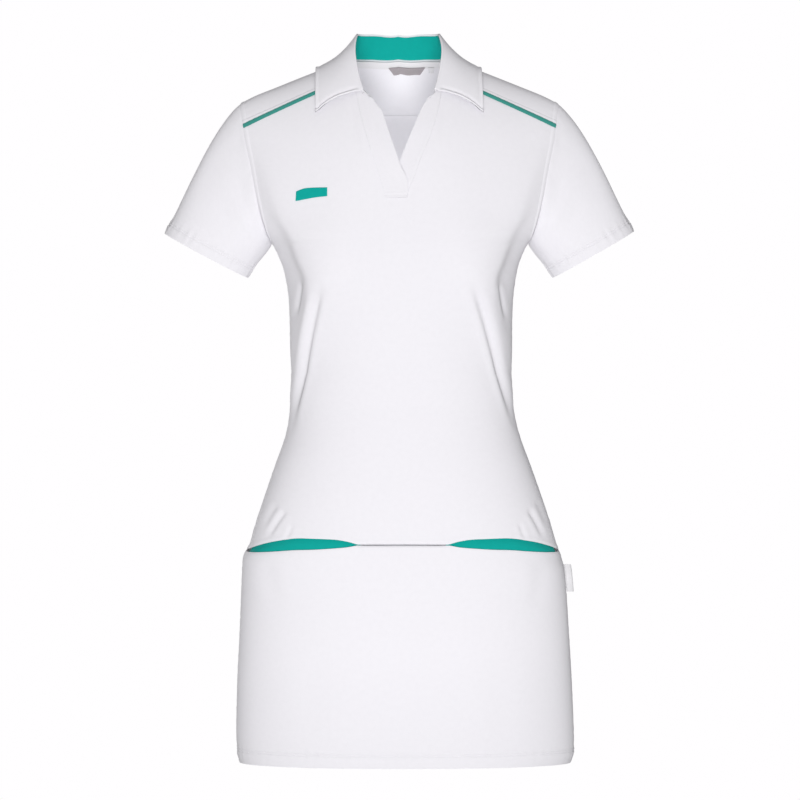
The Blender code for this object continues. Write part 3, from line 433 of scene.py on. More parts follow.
def shell(name, patches, finish, rounding=0.03):
    """A thin shell of cloth from patches that share their edge points.

    A patch is its points, the way its outside faces, how far each point is raised, how thick the cloth is,
    and its two distances along the cloth for the knit's pattern. Rounding is how far the edges bulge, in
    walls of the cloth. Under 0.2 they are cut edges, whose shading stays apart from the panel's.
    """
    quads, every, values = [], [], []
    count = 0
    for points, facing, *given in patches:
        some = grid_quads(*points.shape[:2])
        flat = points.reshape(-1, 3)
        ways = np.broadcast_to(facing, points.shape).reshape(-1, 3)
        agree = (normals_of(flat, some) * ways).sum()
        quads.append((some if agree > 0 else some[:, ::-1]) + count)
        every.append(flat)
        values.append(np.stack([np.broadcast_to(v, points.shape[:2]).reshape(-1) for v in given], axis=1))
        count += len(flat)
    every = np.concatenate(every)
    place = np.round(every * 1e7).astype(np.int64)
    _, first, index = np.unique(place, axis=0, return_index=True, return_inverse=True)
    quads = index.reshape(-1)[np.concatenate(quads)]
    points, values = every[first], np.concatenate(values)[first]
    raised, wall, cloth = values[:, :1], values[:, 1:2], values[:, 2:]
    outer = points + normals_of(points, quads) * raised
    normal = normals_of(outer, quads)

    # The edges that only one face has, in that face's direction
    edges = np.concatenate([quads[:, [k, (k + 1) % 4]] for k in range(4)])
    edges = edges[edges[:, 0] != edges[:, 1]]
    _, where, uses = np.unique(np.sort(edges, axis=1), axis=0, return_index=True, return_counts=True)
    rim = edges[where[uses == 1]]
    away = np.zeros_like(outer)
    for end in (0, 1):
        side = np.cross(unit(outer[rim[:, 1]] - outer[rim[:, 0]]), normal[rim[:, end]])
        np.add.at(away, rim[:, end], side)
    away = unit(away)
    outer = outer - away * (wall * rounding + SEAM_GAP / 2)
    inner = outer - normal * wall
    on_rim, rim_index = np.unique(rim, return_inverse=True)
    middle = ((outer + inner) / 2 + away * wall * rounding)[on_rim]
    total = len(outer)
    a, b = rim.T
    between_a, between_b = rim_index.reshape(rim.shape).T + 2 * total
    faces = [
        quads,
        quads[:, ::-1] + total,
        np.stack((b, a, between_a, between_b), axis=1),
        np.stack((between_b, between_a, a + total, b + total), axis=1),
    ]
    piece = mesh_piece(name, np.concatenate((outer, inner, middle)), np.concatenate(faces), finish)
    if rounding < 0.2:
        mark_sharp(piece, np.concatenate((rim, rim + total)))
    put_on_uv(piece, np.concatenate((cloth, cloth, cloth[on_rim])))
    return piece


def leaned(points):
    """The garment hangs a little to one side, more so towards the hem."""
    moved = points.copy()
    moved[..., 0] += read(FORM, "lean", points[..., 2])
    return moved


def mesh_piece(name, points, quads, finish):
    mesh = bpy.data.meshes.new(name)
    faces = [[k for n, k in enumerate(quad) if k not in quad[:n]] for quad in quads.tolist()]
    mesh.from_pydata(leaned(points).tolist(), [], faces)
    mesh.validate()
    mesh.polygons.foreach_set("use_smooth", [True] * len(mesh.polygons))
    mesh.materials.append(finish)
    piece = bpy.data.objects.new(name, mesh)
    bpy.context.scene.collection.objects.link(piece)
    return piece


def mark_sharp(piece, pairs):
    """Keeps the shading of a panel's face apart from that of its cut edge."""
    edges = np.zeros(2 * len(piece.data.edges), np.int64)
    piece.data.edges.foreach_get("vertices", edges)
    edges, pairs = np.sort(edges.reshape(-1, 2), axis=1), np.sort(pairs, axis=1)
    many = len(piece.data.vertices)
    sharp = np.isin(edges[:, 0] * many + edges[:, 1], pairs[:, 0] * many + pairs[:, 1])
    piece.data.attributes.new("sharp_edge", "BOOLEAN", "EDGE").data.foreach_set("value", sharp)


def put_on_uv(piece, cloth):
    """The cloth's own distances in metres as the piece's UV map, for the knit's pattern to follow."""
    mesh = piece.data
    corners = np.zeros(len(mesh.loops), np.int64)
    mesh.loops.foreach_get("vertex_index", corners)
    mesh.uv_layers.new(name="cloth").data.foreach_set("uv", cloth[corners].astype(np.float32).ravel())


def sewn_on(piece, node):
    """Hangs every piece of cloth of this garment from the root, and hides the part of the model that it
    stands in for.
    """
    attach(piece, "root")
    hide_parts(node)


def add_node(tree, kind, inputs, **settings):
    """A node with its settings, and with its inputs set to values or linked to the outputs of other nodes."""
    node = tree.nodes.new(kind)
    for setting, value in settings.items():
        setattr(node, setting, value)
    for key, value in inputs.items():
        if isinstance(value, bpy.types.NodeSocket):
            tree.links.new(value, node.inputs[key])
        else:
            node.inputs[key].default_value = value
    return node


def calculate(tree, operation, *values):
    return add_node(tree, "ShaderNodeMath", dict(enumerate(values)), operation=operation).outputs[0]


def mix(tree, factor, first, second):
    inputs = {"Factor": factor, "A": first, "B": second}
    return add_node(tree, "ShaderNodeMix", inputs, data_type="RGBA").outputs["Result"]


def knit_group():
    """Shader nodes for a plain knit: rows of small V-shaped stitches, from distances along the cloth."""
    group = bpy.data.node_groups.new("knit_stitches", "ShaderNodeTree")
    group.interface.new_socket("Cloth", in_out="INPUT", socket_type="NodeSocketVector")
    for name in ("Wale", "Course"):
        group.interface.new_socket(name, in_out="INPUT", socket_type="NodeSocketFloat")
    for name in ("Height", "Mottle"):
        group.interface.new_socket(name, in_out="OUTPUT", socket_type="NodeSocketFloat")
    given = group.nodes.new("NodeGroupInput").outputs
    apart = add_node(group, "ShaderNodeSeparateXYZ", {0: given["Cloth"]}).outputs
    wale = calculate(group, "DIVIDE", apart["X"], given["Wale"])
    course = calculate(group, "DIVIDE", apart["Y"], given["Course"])
    half_way = calculate(group, "SUBTRACT", calculate(group, "FRACT", wale), 0.5)
    slant = calculate(group, "MULTIPLY", calculate(group, "ABSOLUTE", half_way), 1.1)
    in_loop = calculate(group, "FRACT", calculate(group, "ADD", course, slant))
    in_leg = calculate(group, "FRACT", calculate(group, "MULTIPLY", wale, 2.0))
    loop = calculate(group, "SINE", calculate(group, "MULTIPLY", in_loop, math.pi))
    leg = calculate(group, "SINE", calculate(group, "MULTIPLY", in_leg, math.pi))
    height = calculate(group, "MULTIPLY", leg, calculate(group, "POWER", loop, 0.7))
    grain = {"Vector": given["Cloth"], "Scale": 160.0, "Detail": 4.0, "Roughness": 0.6}
    mottle = add_node(group, "ShaderNodeTexNoise", grain).outputs["Fac"]
    add_node(group, "NodeGroupOutput", {"Height": height, "Mottle": mottle})
    return group


def patterned(name, wale, course, strength, depth, looks):
    """A material with the stitches' pattern standing out of it, which follows the cloth, and the pattern."""
    made = bpy.data.materials.new(name)
    made.use_nodes = True
    tree = made.node_tree
    cloth = add_node(tree, "ShaderNodeUVMap", {}, uv_map="cloth").outputs["UV"]
    sizes = {"Cloth": cloth, "Wale": wale, "Course": course}
    stitches = add_node(tree, "ShaderNodeGroup", sizes, node_tree=KNIT).outputs
    relief = {"Strength": strength, "Distance": depth, "Height": stitches["Height"]}
    raised = add_node(tree, "ShaderNodeBump", relief).outputs["Normal"]
    shader = tree.nodes["Principled BSDF"]
    tree.links.new(raised, shader.inputs["Normal"])
    for look, value in looks.items():
        shader.inputs[look].default_value = value
    return made, tree, stitches


def knit(name, light, dark, roughness, wale, course, depth, sheen):
    """A knitted cloth: its colour varies a little at random, and is darker where the stitches are low, a
    painted shade;
    the stitches stand out of it, and where it is seen at a low angle its colour is darker, a painted shade at
    the outline."""
    looks = {"Roughness": roughness, "Diffuse Roughness": 0.3, "Specular IOR Level": 0.25}
    looks.update({"Sheen Weight": sheen, "Sheen Roughness": 0.5})
    made, tree, stitches = patterned(name, wale, course, 0.5, depth, looks)
    # Darker where the stitches are low, painted shade in their hollows; the noise adds tone that differs at
    # random
    shade = calculate(tree, "MULTIPLY_ADD", stitches["Height"], 0.55, stitches["Mottle"])
    colour = mix(tree, shade, (*dark, 1.0), (*light, 1.0))
    # Darker where the cloth is seen at a low angle: painted shade towards the outline
    facing = add_node(tree, "ShaderNodeLayerWeight", {"Blend": 0.5}).outputs["Facing"]
    painted_outline_shade = (*(PAINTED_EDGE_SHADE * c for c in dark), 1.0)
    seen = mix(tree, calculate(tree, "POWER", facing, PAINTED_EDGE_SHADE_POWER), colour, painted_outline_shade)
    tree.links.new(seen, tree.nodes["Principled BSDF"].inputs["Base Color"])
    return made


# How dark the painted shade at a low angle is, and how quickly it comes on towards the outline
PAINTED_EDGE_SHADE = 0.68
PAINTED_EDGE_SHADE_POWER = 4.0
KNIT = knit_group()
# Each knit's colour where the stitches stand out, and a darker one for the painted shade in their hollows and
# at the outline
WHITE = ((0.915, 0.903, 0.937), (0.868, 0.856, 0.890))
WHITE_KNIT = knit("white_knit", *WHITE, 0.85, 0.0010, 0.0008, 0.00012, 0.10)


def on_side(grid, sign):
    """A grid made for the wearer's left side, or its mirror image for the right."""
    return grid * np.array((sign, 1.0, 1.0))


def upper_front_half(side):
    """The two patches of one half of the upper front: beside the placket's line, and under the placket."""
    sign = SIDES[side]
    near_hip = HIP + np.array((0.0, 0.0006, 0.0012, 0.0022, 0.0034, 0.0048, 0.0062, 0.0080, 0.0105))
    below = np.concatenate((near_hip, np.linspace(HIP + 0.0135, PLACKET_END - 0.0015, 150), [PLACKET_END]))
    usual = read(FORM, "width", below) * MIDDLE_COLUMN
    narrow = abs(float(PLACKET_SEAM[side][0]))
    middle_edge = usual + (narrow - usual) * smooth(below, MIDDLE_STRAIGHT_BELOW, PLACKET_END)
    middle_edge[-1] = narrow
    share = np.concatenate((np.linspace(0, 0.93, 30)[1:], (0.955, 0.975, 0.99, 1.0)))
    top_x, _, top_z = (float(v) for v in over_shoulder(*neck(NECK_AT_YOKE_SEAM + 90)))
    inner_z = PLACKET_END + (top_z - PLACKET_END) * share
    inner_x = np.abs(read(PLACKET_SEAM, side, inner_z))
    inner_x[-1] = top_x
    outer_z = PLACKET_END + (FRONT_SEAM_AT_ARMHOLE - PLACKET_END) * share
    x, z = spread(
        np.concatenate((middle_edge, inner_x)),
        np.concatenate((below, inner_z)),
        np.concatenate((outer_edge(below), read(ARMHOLE, "across", outer_z))),
        np.concatenate((below, outer_z)),
        260,
    )
    x, z = to_hip_seam(x, z, "rise", ABOVE_HIP_ROW)
    points, from_middle, to_side = respace(on_front(x, z), (0.0, 0.0013, 0.0025, 0.0040), NEAR_SEAM, 78)
    part = np.linspace(0, 1, 6)
    x, z = to_hip_seam(middle_edge[:, None] * part, below[:, None] + 0 * part, "rise", ABOVE_HIP_ROW)
    centre = on_front(x, z)
    centre[:, -1] = points[: len(below), 0]
    centre[:, 0, 0] = 0.0
    patches = []
    for grid, across in ((points, from_middle), (centre, centre[..., 0])):
        here_x, here_z = sign * grid[..., 0], grid[..., 2]
        down = length_down(grid)
        raised = folds(here_x, here_z, FRONT_FOLDS) + hand_of(here_x, here_z, 1.0)
        raised = raised + side_ridge(here_x, here_z)
        if grid is points:
            raised = raised * smooth(to_side, 0.0, 0.016)
            raised = raised + side_relief(to_side, here_z, down, 3.5 - 1.5 * sign, 5.0 - 2.0 * sign)
        # The lower edge is turned under, and topstitched over the pockets
        up = np.clip(here_z - here_z[:1], 0, 1)
        raised = raised - hip_seam_roll(up, here_x[:1]) + 0.0003 * (1 - smooth(up, 0.0048, 0.0066))
        raised = raised - 0.0002 * bump(up - 0.0056, STITCH_WIDTH)
        across = sign * (grid[:, :1, 0] + across)
        patches.append((on_side(grid, sign), FORWARDS, raised, KNIT_WALL, across, down))
    return patches


upper_front = shell("upper_front", upper_front_half("right") + upper_front_half("left"), WHITE_KNIT)
sewn_on(upper_front, "front_upper")

# The lower front
# One panel of the same knit from the hip seam to the hem. Its upper edge stands a little off the linings of
# the pockets, and the hem is a deep fold sewn up with two rows of stitches.
HEM = -0.842
BELOW_HIP_ROW = -0.63
MOUTH_STANDS_OFF = 0.0032
HEM_FOLD = 0.0185
HEM_ROWS = (0.0, 0.0012, 0.0025, 0.0045, 0.0070, 0.0095, 0.0120, 0.0135)
HEM_ROWS += (0.0143, 0.0151, 0.0163, 0.0171, 0.0178, 0.0187, 0.0205)
HEM_STITCHES = (0.0143, 0.0171)
HEM_RISE = 0.00100
HEM_STITCH_DIP = 0.00125
HEM_PUCKER = 0.00120
LOWER_FOLDS = (
    ((-0.1600, -0.600), (-0.1500, -0.650), 0.0020, 0.0010, 0.0090),
    ((0.1620, -0.600), (0.1540, -0.655), -0.0020, 0.0010, 0.0090),
    ((-0.0250, -0.600), (-0.0330, -0.700), 0.0030, 0.0005, 0.0160),
    ((0.0400, -0.640), (0.0460, -0.760), -0.0030, 0.0005, 0.0180),
    ((-0.1000, -0.700), (-0.1080, -0.810), 0.0030, 0.0006, 0.0160),
    ((0.1080, -0.710), (0.1150, -0.815), -0.0030, 0.0006, 0.0150),
)


def hem_relief(up, along, seed, stitches, fold_depth):
    """A turned-up hem: padded up to its stitches, which pull the cloth in and pucker it."""
    raised = HEM_RISE * (1 - smooth(up, stitches[-1], fold_depth + 0.0012))
    for stitch in stitches:
        raised = raised - HEM_STITCH_DIP * bump(up - stitch, STITCH_WIDTH)
    pucker = HEM_PUCKER * uneven(along, PUCKER_LENGTH, seed) * bump(up - stitches[0], 0.009)
    return raised + pucker - 0.0004 * bump(up, 0.0014)


def hem_wall(up, double_to, single_from):
    """The thickness of the cloth, which is nearly double in the hem."""
    return KNIT_WALL * (1 + 0.8 * (1 - smooth(up, double_to, single_from)))


def standing_off(drop, below):
    """How far the cloth below a pocket's mouth stands off the hip, by how far the mouth drops there."""
    return MOUTH_STANDS_OFF * drop / MOUTH["drop"].max() * (1 - smooth(below, 0.0, 0.060))


def lower_front_half(sign):
    near_hip = HIP - np.array((0.0, 0.0006, 0.0012, 0.0022, 0.0034, 0.0048, 0.0056, 0.0066, 0.0082, 0.0105))
    hem = HEM + np.array(HEM_ROWS)[::-1]
    heights = np.concatenate((near_hip, np.linspace(near_hip[-1] - 0.003, hem[0] + 0.003, 76), hem))
    x, z = spread(np.zeros(len(heights)), heights, outer_edge(heights), heights, 300)
    x, z = to_hip_seam(x, z, "drop", BELOW_HIP_ROW)
    points, from_middle, to_side = respace(on_front(x, z), (0.0,), NEAR_SEAM, 52)
    points[:, 0, 0] = 0.0
    top_x, top_z = points[:1, :, 0], points[:1, :, 2]
    here_x, here_z = sign * points[..., 0], points[..., 2]
    up, below, down = here_z - HEM, top_z - here_z, length_down(points)
    raised = folds(here_x, here_z, LOWER_FOLDS) + hand_of(here_x, here_z, 2.0)
    raised = raised * smooth(to_side, 0.0, 0.016) * smooth(below, 0.0, 0.012)
    raised = raised + standing_off(mouth(top_x / read(FORM, "width", top_z), "drop"), below)
    raised = raised + seam_relief(to_side, down, 4.0 + sign, topstitched=False)
    raised = raised + hem_relief(up, from_middle * sign, 1.0, HEM_STITCHES, HEM_FOLD)
    raised = raised - hip_seam_roll(below, top_x)
    wall = hem_wall(up, HEM_FOLD - 0.001, HEM_FOLD + 0.001)
    return on_side(points, sign), FORWARDS, raised, wall, sign * from_middle, -down


lower_front = shell("lower_front", (lower_front_half(-1), lower_front_half(1)), WHITE_KNIT)
sewn_on(lower_front, "front_lower")

# The back
# One panel of the knit from the yoke's back seam to the hem, hollow at the waist and full over the hips.
# It hangs in soft folds across the small of the back and down the sides of the waist.
BACK_SEAM = -0.061
BACK_SEAM_AT_ARMHOLE = -0.066
# How much of a seam's usual relief the pressed seam across the back has
FLAT_SEAM = 0.4
BACK_FOLDS = (
    ((-0.1080, -0.262), (-0.1240, -0.372), -0.0030, 0.0032, 0.0070),
    ((0.1100, -0.268), (0.1265, -0.366), 0.0030, 0.0032, 0.0065),
    ((-0.0180, -0.418), (-0.0950, -0.396), 0.0050, 0.0034, 0.0070),
    ((0.0120, -0.425), (0.0980, -0.400), -0.0060, 0.0037, 0.0075),
    ((-0.0400, -0.445), (-0.1080, -0.430), 0.0040, 0.0022, 0.0060),
    ((0.0500, -0.392), (0.1060, -0.376), -0.0030, 0.0019, 0.0055),
    ((-0.0880, -0.150), (-0.1050, -0.235), -0.0060, 0.0019, 0.0110),
    ((0.0850, -0.155), (0.1070, -0.240), 0.0060, 0.0019, 0.0110),
    ((-0.1550, -0.208), (-0.1150, -0.236), 0.0030, 0.0019, 0.0070),
    ((0.1550, -0.210), (0.1180, -0.242), -0.0030, 0.0021, 0.0070),
    ((-0.0600, -0.640), (-0.0680, -0.790), 0.0040, 0.0013, 0.0170),
    ((0.0750, -0.630), (0.0830, -0.780), -0.0040, 0.0014, 0.0160),
)


def on_back(x, z):
    return stack(x, depth_at(x, z, True), z)


def back_half(sign):
    hem = HEM + np.array(HEM_ROWS)
    below_seam = BACK_SEAM_AT_ARMHOLE - np.array(NEAR_SEAM)[::-1]
    heights = np.concatenate((hem, np.linspace(hem[-1] + 0.004, below_seam[0] - 0.004, 172), below_seam))
    x, z = spread(np.zeros(len(heights)), heights, outer_edge(heights), heights, 320)
    rise = (BACK_SEAM - BACK_SEAM_AT_ARMHOLE) * (1 - (x / x[:, -1:]) ** 2)
    z = z + rise * smooth(z, BACK_SEAM_AT_ARMHOLE - 0.035, BACK_SEAM_AT_ARMHOLE)
    points, from_middle, to_side = respace(on_back(x, z), (0.0,), NEAR_SEAM, 50)
    points[:, 0, 0] = 0.0
    here_x, here_z = sign * points[..., 0], points[..., 2]
    up, to_seam, along = here_z - HEM, points[-1:, :, 2] - here_z, length_down(points)
    raised = folds(here_x, here_z, BACK_FOLDS) + hand_of(here_x, here_z, 3.0)
    raised = raised * smooth(to_side, 0.0, 0.016) * smooth(to_seam, 0.0, 0.012)
    raised = raised + side_relief(to_side, here_z, along, 8.0 + sign, 6.0 + sign)
    raised = raised + FLAT_SEAM * seam_relief(to_seam, from_middle * sign, 9.0, topstitched=False)
    raised = raised + hem_relief(up, from_middle * sign, 2.0, HEM_STITCHES, HEM_FOLD)
    wall = hem_wall(up, HEM_FOLD - 0.001, HEM_FOLD + 0.001)
    return on_side(points, sign), BACKWARDS, raised, wall, -sign * from_middle, along


back = shell("back_panel", (back_half(-1), back_half(1)), WHITE_KNIT)
sewn_on(back, "back")

# The yoke
# One piece of the knit over both shoulders, from the piped seams in front to the straight seam across the
# back. Its armhole and front edges are topstitched.
NECK_AT_BACK_CORNER = 62.0
YOKE_ROWS = 120


def turn_at(x, z, roll):
    """How far round the shoulder line a point of the yoke is, from its x and z."""
    return np.arccos(1 - ridge_drop(x, z, roll))


def forward_seam(short, count):
    """The x and z of the forward yoke seam from the neck to the armhole, or to a little short of it."""
    x, _, z = over_shoulder(*neck(NECK_AT_YOKE_SEAM + 90))
    outer_x = read(ARMHOLE, "across", FRONT_SEAM_AT_ARMHOLE) - short
    ends = [np.array([float(v)]) for v in (x, z, outer_x, FRONT_SEAM_AT_ARMHOLE)]
    return [row[0] for row in spread(*ends, count)]


def yoke_rows(outer_x, outer_turn, degrees, fade):
    """Dense rows from the neck out to the armhole or the back seam, bent to the forward seam by fade."""
    seam_x, seam_z = forward_seam(0.0, 260)
    part = (seam_x - seam_x[0]) / (seam_x[-1] - seam_x[0])
    inner_x, inner_turn = neck(degrees)
    x = inner_x[:, None] + (outer_x - inner_x)[:, None] * part
    turn = inner_turn[:, None] + (outer_turn - inner_turn)[:, None] * part
    x = x + fade[:, None] * (seam_x - x[0])
    turn = turn + fade[:, None] * (turn_at(seam_x, seam_z, FRONT_ROLL) - turn[0])
    return over_shoulder(x, turn)


def yoke_armhole(count):
    """The x and turn of the armhole from the forward seam over the shoulder to the back seam."""
    first = turn_at(read(ARMHOLE, "across", FRONT_SEAM_AT_ARMHOLE), FRONT_SEAM_AT_ARMHOLE, FRONT_ROLL)
    last = -turn_at(read(ARMHOLE, "across", BACK_SEAM_AT_ARMHOLE), BACK_SEAM_AT_ARMHOLE, BACK_ROLL)
    turn = np.linspace(first, last, count)
    x = np.full(count, 0.19)
    for _ in range(20):
        x = read(ARMHOLE, "across", over_shoulder(x, turn)[:, 2])
    return x, turn


def resample(values, count):
    """Columns of values read at another number of evenly spaced rows."""
    old, new = np.linspace(0, 1, len(values)), np.linspace(0, 1, count)
    return np.array([np.interp(new, old, column) for column in values.T]).T


def yoke_patches(sign):
    """The two patches of one half of the yoke: over the shoulder, and behind the neck."""
    share = np.linspace(0, 1, YOKE_ROWS)
    front_degrees = NECK_AT_YOKE_SEAM + 90
    degrees = front_degrees + (NECK_AT_BACK_CORNER - front_degrees) * share
    over = yoke_rows(*yoke_armhole(YOKE_ROWS), degrees, (1 - share) ** 2)
    back_x = float(read(ARMHOLE, "across", BACK_SEAM_AT_ARMHOLE)) * (1 - share)
    back_z = BACK_SEAM + (BACK_SEAM_AT_ARMHOLE - BACK_SEAM) * (back_x / back_x[0]) ** 2
    back_turn = -turn_at(back_x, back_z, BACK_ROLL)
    behind = yoke_rows(back_x, back_turn, NECK_AT_BACK_CORNER * (1 - share), 0 * share)
    behind[0] = over[-1]
    patches = []
    for grid, near_start, between in ((over, NEAR_SEAM, 26), (behind, (0.0,), 34)):
        points, from_neck, to_edge = respace(grid, (0.0, 0.0012, 0.0025, 0.0042), NEAR_SEAM, 30)
        points, from_front, _ = respace_down(points, near_start, (0.0,), between)
        if grid is behind:
            points[-1, :, 0] = 0.0
        from_neck, to_edge = resample(from_neck, len(points)), resample(to_edge, len(points))
        along = length_down(points)
        raised = hand_of(sign * points[..., 0], points[..., 1], 4.0) * 0.7 * smooth(to_edge, 0.0, 0.014)
        stitched = seam_relief(to_edge, along, 10.0 + sign)
        raised = raised + stitched * (1.0 if grid is over else FLAT_SEAM) - 0.0003 * bump(from_neck, 0.0020)
        if grid is over:
            raised = raised + seam_relief(from_front, from_neck, 12.0 + sign)
        patches.append((on_side(points, sign), UPWARDS, raised, KNIT_WALL, sign * from_neck, along))
    return patches


yoke = shell("shoulder_yoke", yoke_patches(-1) + yoke_patches(1), WHITE_KNIT)
sewn_on(yoke, "yoke")

# The sleeves
# Two short set-in sleeves of the knit, each a tube with its seam under the arm and a hem with two rows of
# stitches. Each runs from the armhole to its cuff, which is an ellipse: its middle and its two half widths.
SLEEVE_LEAVES = 0.80
SLEEVE_ARRIVES = 0.9
CAP_SQUARENESS = 2.0
CAP_HEIGHTS = (-0.175, -0.055)
CUFF = {
    "right": ((0.2325, -0.004, -0.2350), (0.0492, 0.0, 0.0264), (0.0008, -0.047, -0.0018)),
    "left": ((0.2312, -0.004, -0.2335), (0.0487, 0.0, 0.0276), (0.0008, -0.047, -0.0018)),
}
NEAR_SLEEVE_SEAM = (0.0, 0.0013, 0.0026, 0.0045)
NEAR_ARMHOLE = (0.0, 0.0013, 0.0022, 0.0034, 0.0050, 0.0075)
SLEEVE_HEM = (0.0, 0.0012, 0.0028, 0.0050, 0.0078, 0.0100, 0.0113)
SLEEVE_HEM += (0.0121, 0.0129, 0.0141, 0.0149, 0.0157, 0.0167, 0.0185)
SLEEVE_STITCHES = (0.0121, 0.0149)
SLEEVE_ROUND = 0.36
# Folds of the wearer's left sleeve as seen from the front, at -1, and from behind, at 1
SLEEVE_FOLDS = {
    -1: (
        ((0.1830, -0.078), (0.1900, -0.108), 0.0020, 0.0010, 0.0070),
        ((0.1640, -0.208), (0.1930, -0.142), 0.0040, 0.0011, 0.0080),
        ((0.1740, -0.222), (0.2150, -0.176), 0.0040, 0.0009, 0.0080),
        ((0.2150, -0.118), (0.2360, -0.170), -0.0030, 0.0006, 0.0120),
    ),
    1: (
        ((0.1660, -0.205), (0.2000, -0.135), 0.0050, 0.0014, 0.0080),
        ((0.1780, -0.222), (0.2240, -0.172), 0.0040, 0.0011, 0.0080),
        ((0.1900, -0.085), (0.2020, -0.125), 0.0020, 0.0009, 0.0080),
    ),
}


def slope_normal(x, z, back):
    """The direction straight out of the front or the back."""
    small = 1e-5
    across = (depth_at(x + small, z, back) - depth_at(x - small, z, back)) / (2 * small)
    up = (depth_at(x, z + small, back) - depth_at(x, z - small, back)) / (2 * small)
    return unit(stack(-across, np.full(np.shape(across), 1.0 if back else -1.0), -up))


def yoke_normal(x, turn):
    small = 1e-4
    across = over_shoulder(x + small, turn) - over_shoulder(x - small, turn)
    round_it = over_shoulder(x, turn + small) - over_shoulder(x, turn - small)
    normal = unit(np.cross(round_it, across))
    return normal * np.where(normal[..., 2:] < 0, -1.0, 1.0)


def armhole_line():
    """The closed line of the armhole, from the underarm up the front and down the back, and its normals."""
    up = np.linspace(UNDERARM, FRONT_SEAM_AT_ARMHOLE, 150)
    over_x, over_turn = yoke_armhole(70)
    down = np.linspace(BACK_SEAM_AT_ARMHOLE, UNDERARM, 150)[1:-1]
    up_x, down_x = read(ARMHOLE, "across", up), read(ARMHOLE, "across", down)
    points = np.concatenate((on_front(up_x, up), over_shoulder(over_x, over_turn)[1:], on_back(down_x, down)))
    normals = np.concatenate(
        (slope_normal(up_x, up, False), yoke_normal(over_x, over_turn)[1:], slope_normal(down_x, down, True))
    )
    normals[0] = (1.0, 0.0, 0.0)
    return points, normals


def sleeve_rings(side):
    """Dense rings of the wearer's left sleeve, or of the right one mirrored, from the armhole to the hem."""
    points, normals = armhole_line()
    centre, out, front = np.array(CUFF[side])
    along = unit(np.roll(points, -1, axis=0) - np.roll(points, 1, axis=0))
    away = unit(np.cross(along, normals))
    away = away * np.where(away[:, :1] < 0, -1.0, 1.0)
    axis = unit(np.cross(out, front))
    axis = axis * (-1 if axis[2] > 0 else 1)
    square = CAP_SQUARENESS * smooth(points[:, 2], *CAP_HEIGHTS)[:, None]
    leaves = unit(axis + square * away)
    length = np.linalg.norm(np.diff(points, axis=0, append=points[:1]), axis=1)
    top = int(np.argmax(points[:, 2]))
    round_it = np.concatenate(([0], np.cumsum(length)))
    share = np.where(
        np.arange(len(points)) <= top,
        round_it[:-1] / round_it[top] / 2,
        0.5 + (round_it[:-1] - round_it[top]) / (round_it[-1] - round_it[top]) / 2,
    )
    angle = math.pi * (1 - 2 * share)[:, None]
    cuff = centre + np.cos(angle) * out + np.sin(angle) * front
    reach = np.linalg.norm(cuff - points, axis=1)[:, None]
    rings = []
    for t in np.linspace(0, 1, 140):
        start = (1 + 2 * t) * (1 - t) ** 2 * points + t * (1 - t) ** 2 * SLEEVE_LEAVES * reach * leaves
        end = t**2 * (3 - 2 * t) * cuff - t**2 * (1 - t) * SLEEVE_ARRIVES * reach * axis
        rings.append(start + end)
    rings = np.array(rings)
    return np.concatenate((rings, rings[:, :1]), axis=1)


def make_sleeve(side):
    sign = SIDES[side]
    around, from_seam, to_seam = respace(sleeve_rings(side), NEAR_SLEEVE_SEAM, NEAR_SLEEVE_SEAM, 118)
    points, from_armhole, to_hem = respace_down(around, NEAR_ARMHOLE, SLEEVE_HEM, 36)
    points[:, -1] = points[:, 0]
    facing = points - points[:, :-1].mean(axis=1, keepdims=True)
    near_seam = np.minimum(from_seam, to_seam)[0]
    x, y, z = (points[..., k] for k in range(3))
    raised = hand_of(x, y + z, 5.75 - 0.75 * sign) * 0.8
    for way, rows in SLEEVE_FOLDS.items():
        raised = raised + folds(x, z, rows) * smooth(y * way, -0.002, 0.012)
    raised = raised * smooth(from_armhole, 0.0, 0.012) * smooth(to_hem, 0.010, 0.024)
    raised = raised - SEAM_ROLL * bump(from_armhole, ROLL_WIDTH) - 0.0005 * bump(near_seam, ROLL_WIDTH)
    round_it = np.linspace(0, SLEEVE_ROUND, points.shape[1])
    raised = raised + 0.00022 * uneven(round_it, 0.016, 3.0) * bump(from_armhole - 0.005, 0.005)
    raised = raised + hem_relief(to_hem, round_it, 4.0, SLEEVE_STITCHES, SLEEVE_HEM[-2])
    wall = hem_wall(to_hem, *SLEEVE_HEM[-3:-1])
    patch = (on_side(points, sign), on_side(facing, sign), raised, wall, round_it, from_armhole)
    sleeve = shell(side + "_sleeve", (patch,), WHITE_KNIT)
    sewn_on(sleeve, "sleeve_" + side)


for side in SIDES:
    make_sleeve(side)

# The placket
# Two folded strips of the knit, each sewn to one side of the neck opening. The wearer's right one lies on top
# where they cross, and its lower end is sewn down with a small box of stitches.
NECK_FRONT_END = 48.0
STRIP_WALL = 0.0015
OVERLAP_LIFT = 0.0022
OVERLAP_FADES = (0.36, 0.65)
PLACKET_EDGE = table(
    "height  right    left",
    (-0.0454, -0.0422, 0.0422),
    (-0.0514, -0.0331, 0.0345),
    (-0.0559, -0.0282, 0.0301),
    (-0.0650, -0.0213, 0.0253),
    (-0.0830, -0.0153, 0.0174),
    (-0.1102, -0.0063, 0.0060),
    (-0.1295, 0.0001, -0.0018),
    (-0.1537, 0.0096, -0.0110),
    (PLACKET_END, 0.0080, -0.0160),
)
STRIP_EDGE = (0.0, 0.0011, 0.0022, 0.0034, 0.0046)
STRIP_END = (0.0, 0.0011, 0.0021, 0.0029, 0.0037, 0.0050, 0.0062, 0.0070, 0.0078, 0.0090)
BOX_STITCHES = (0.0029, 0.0070)


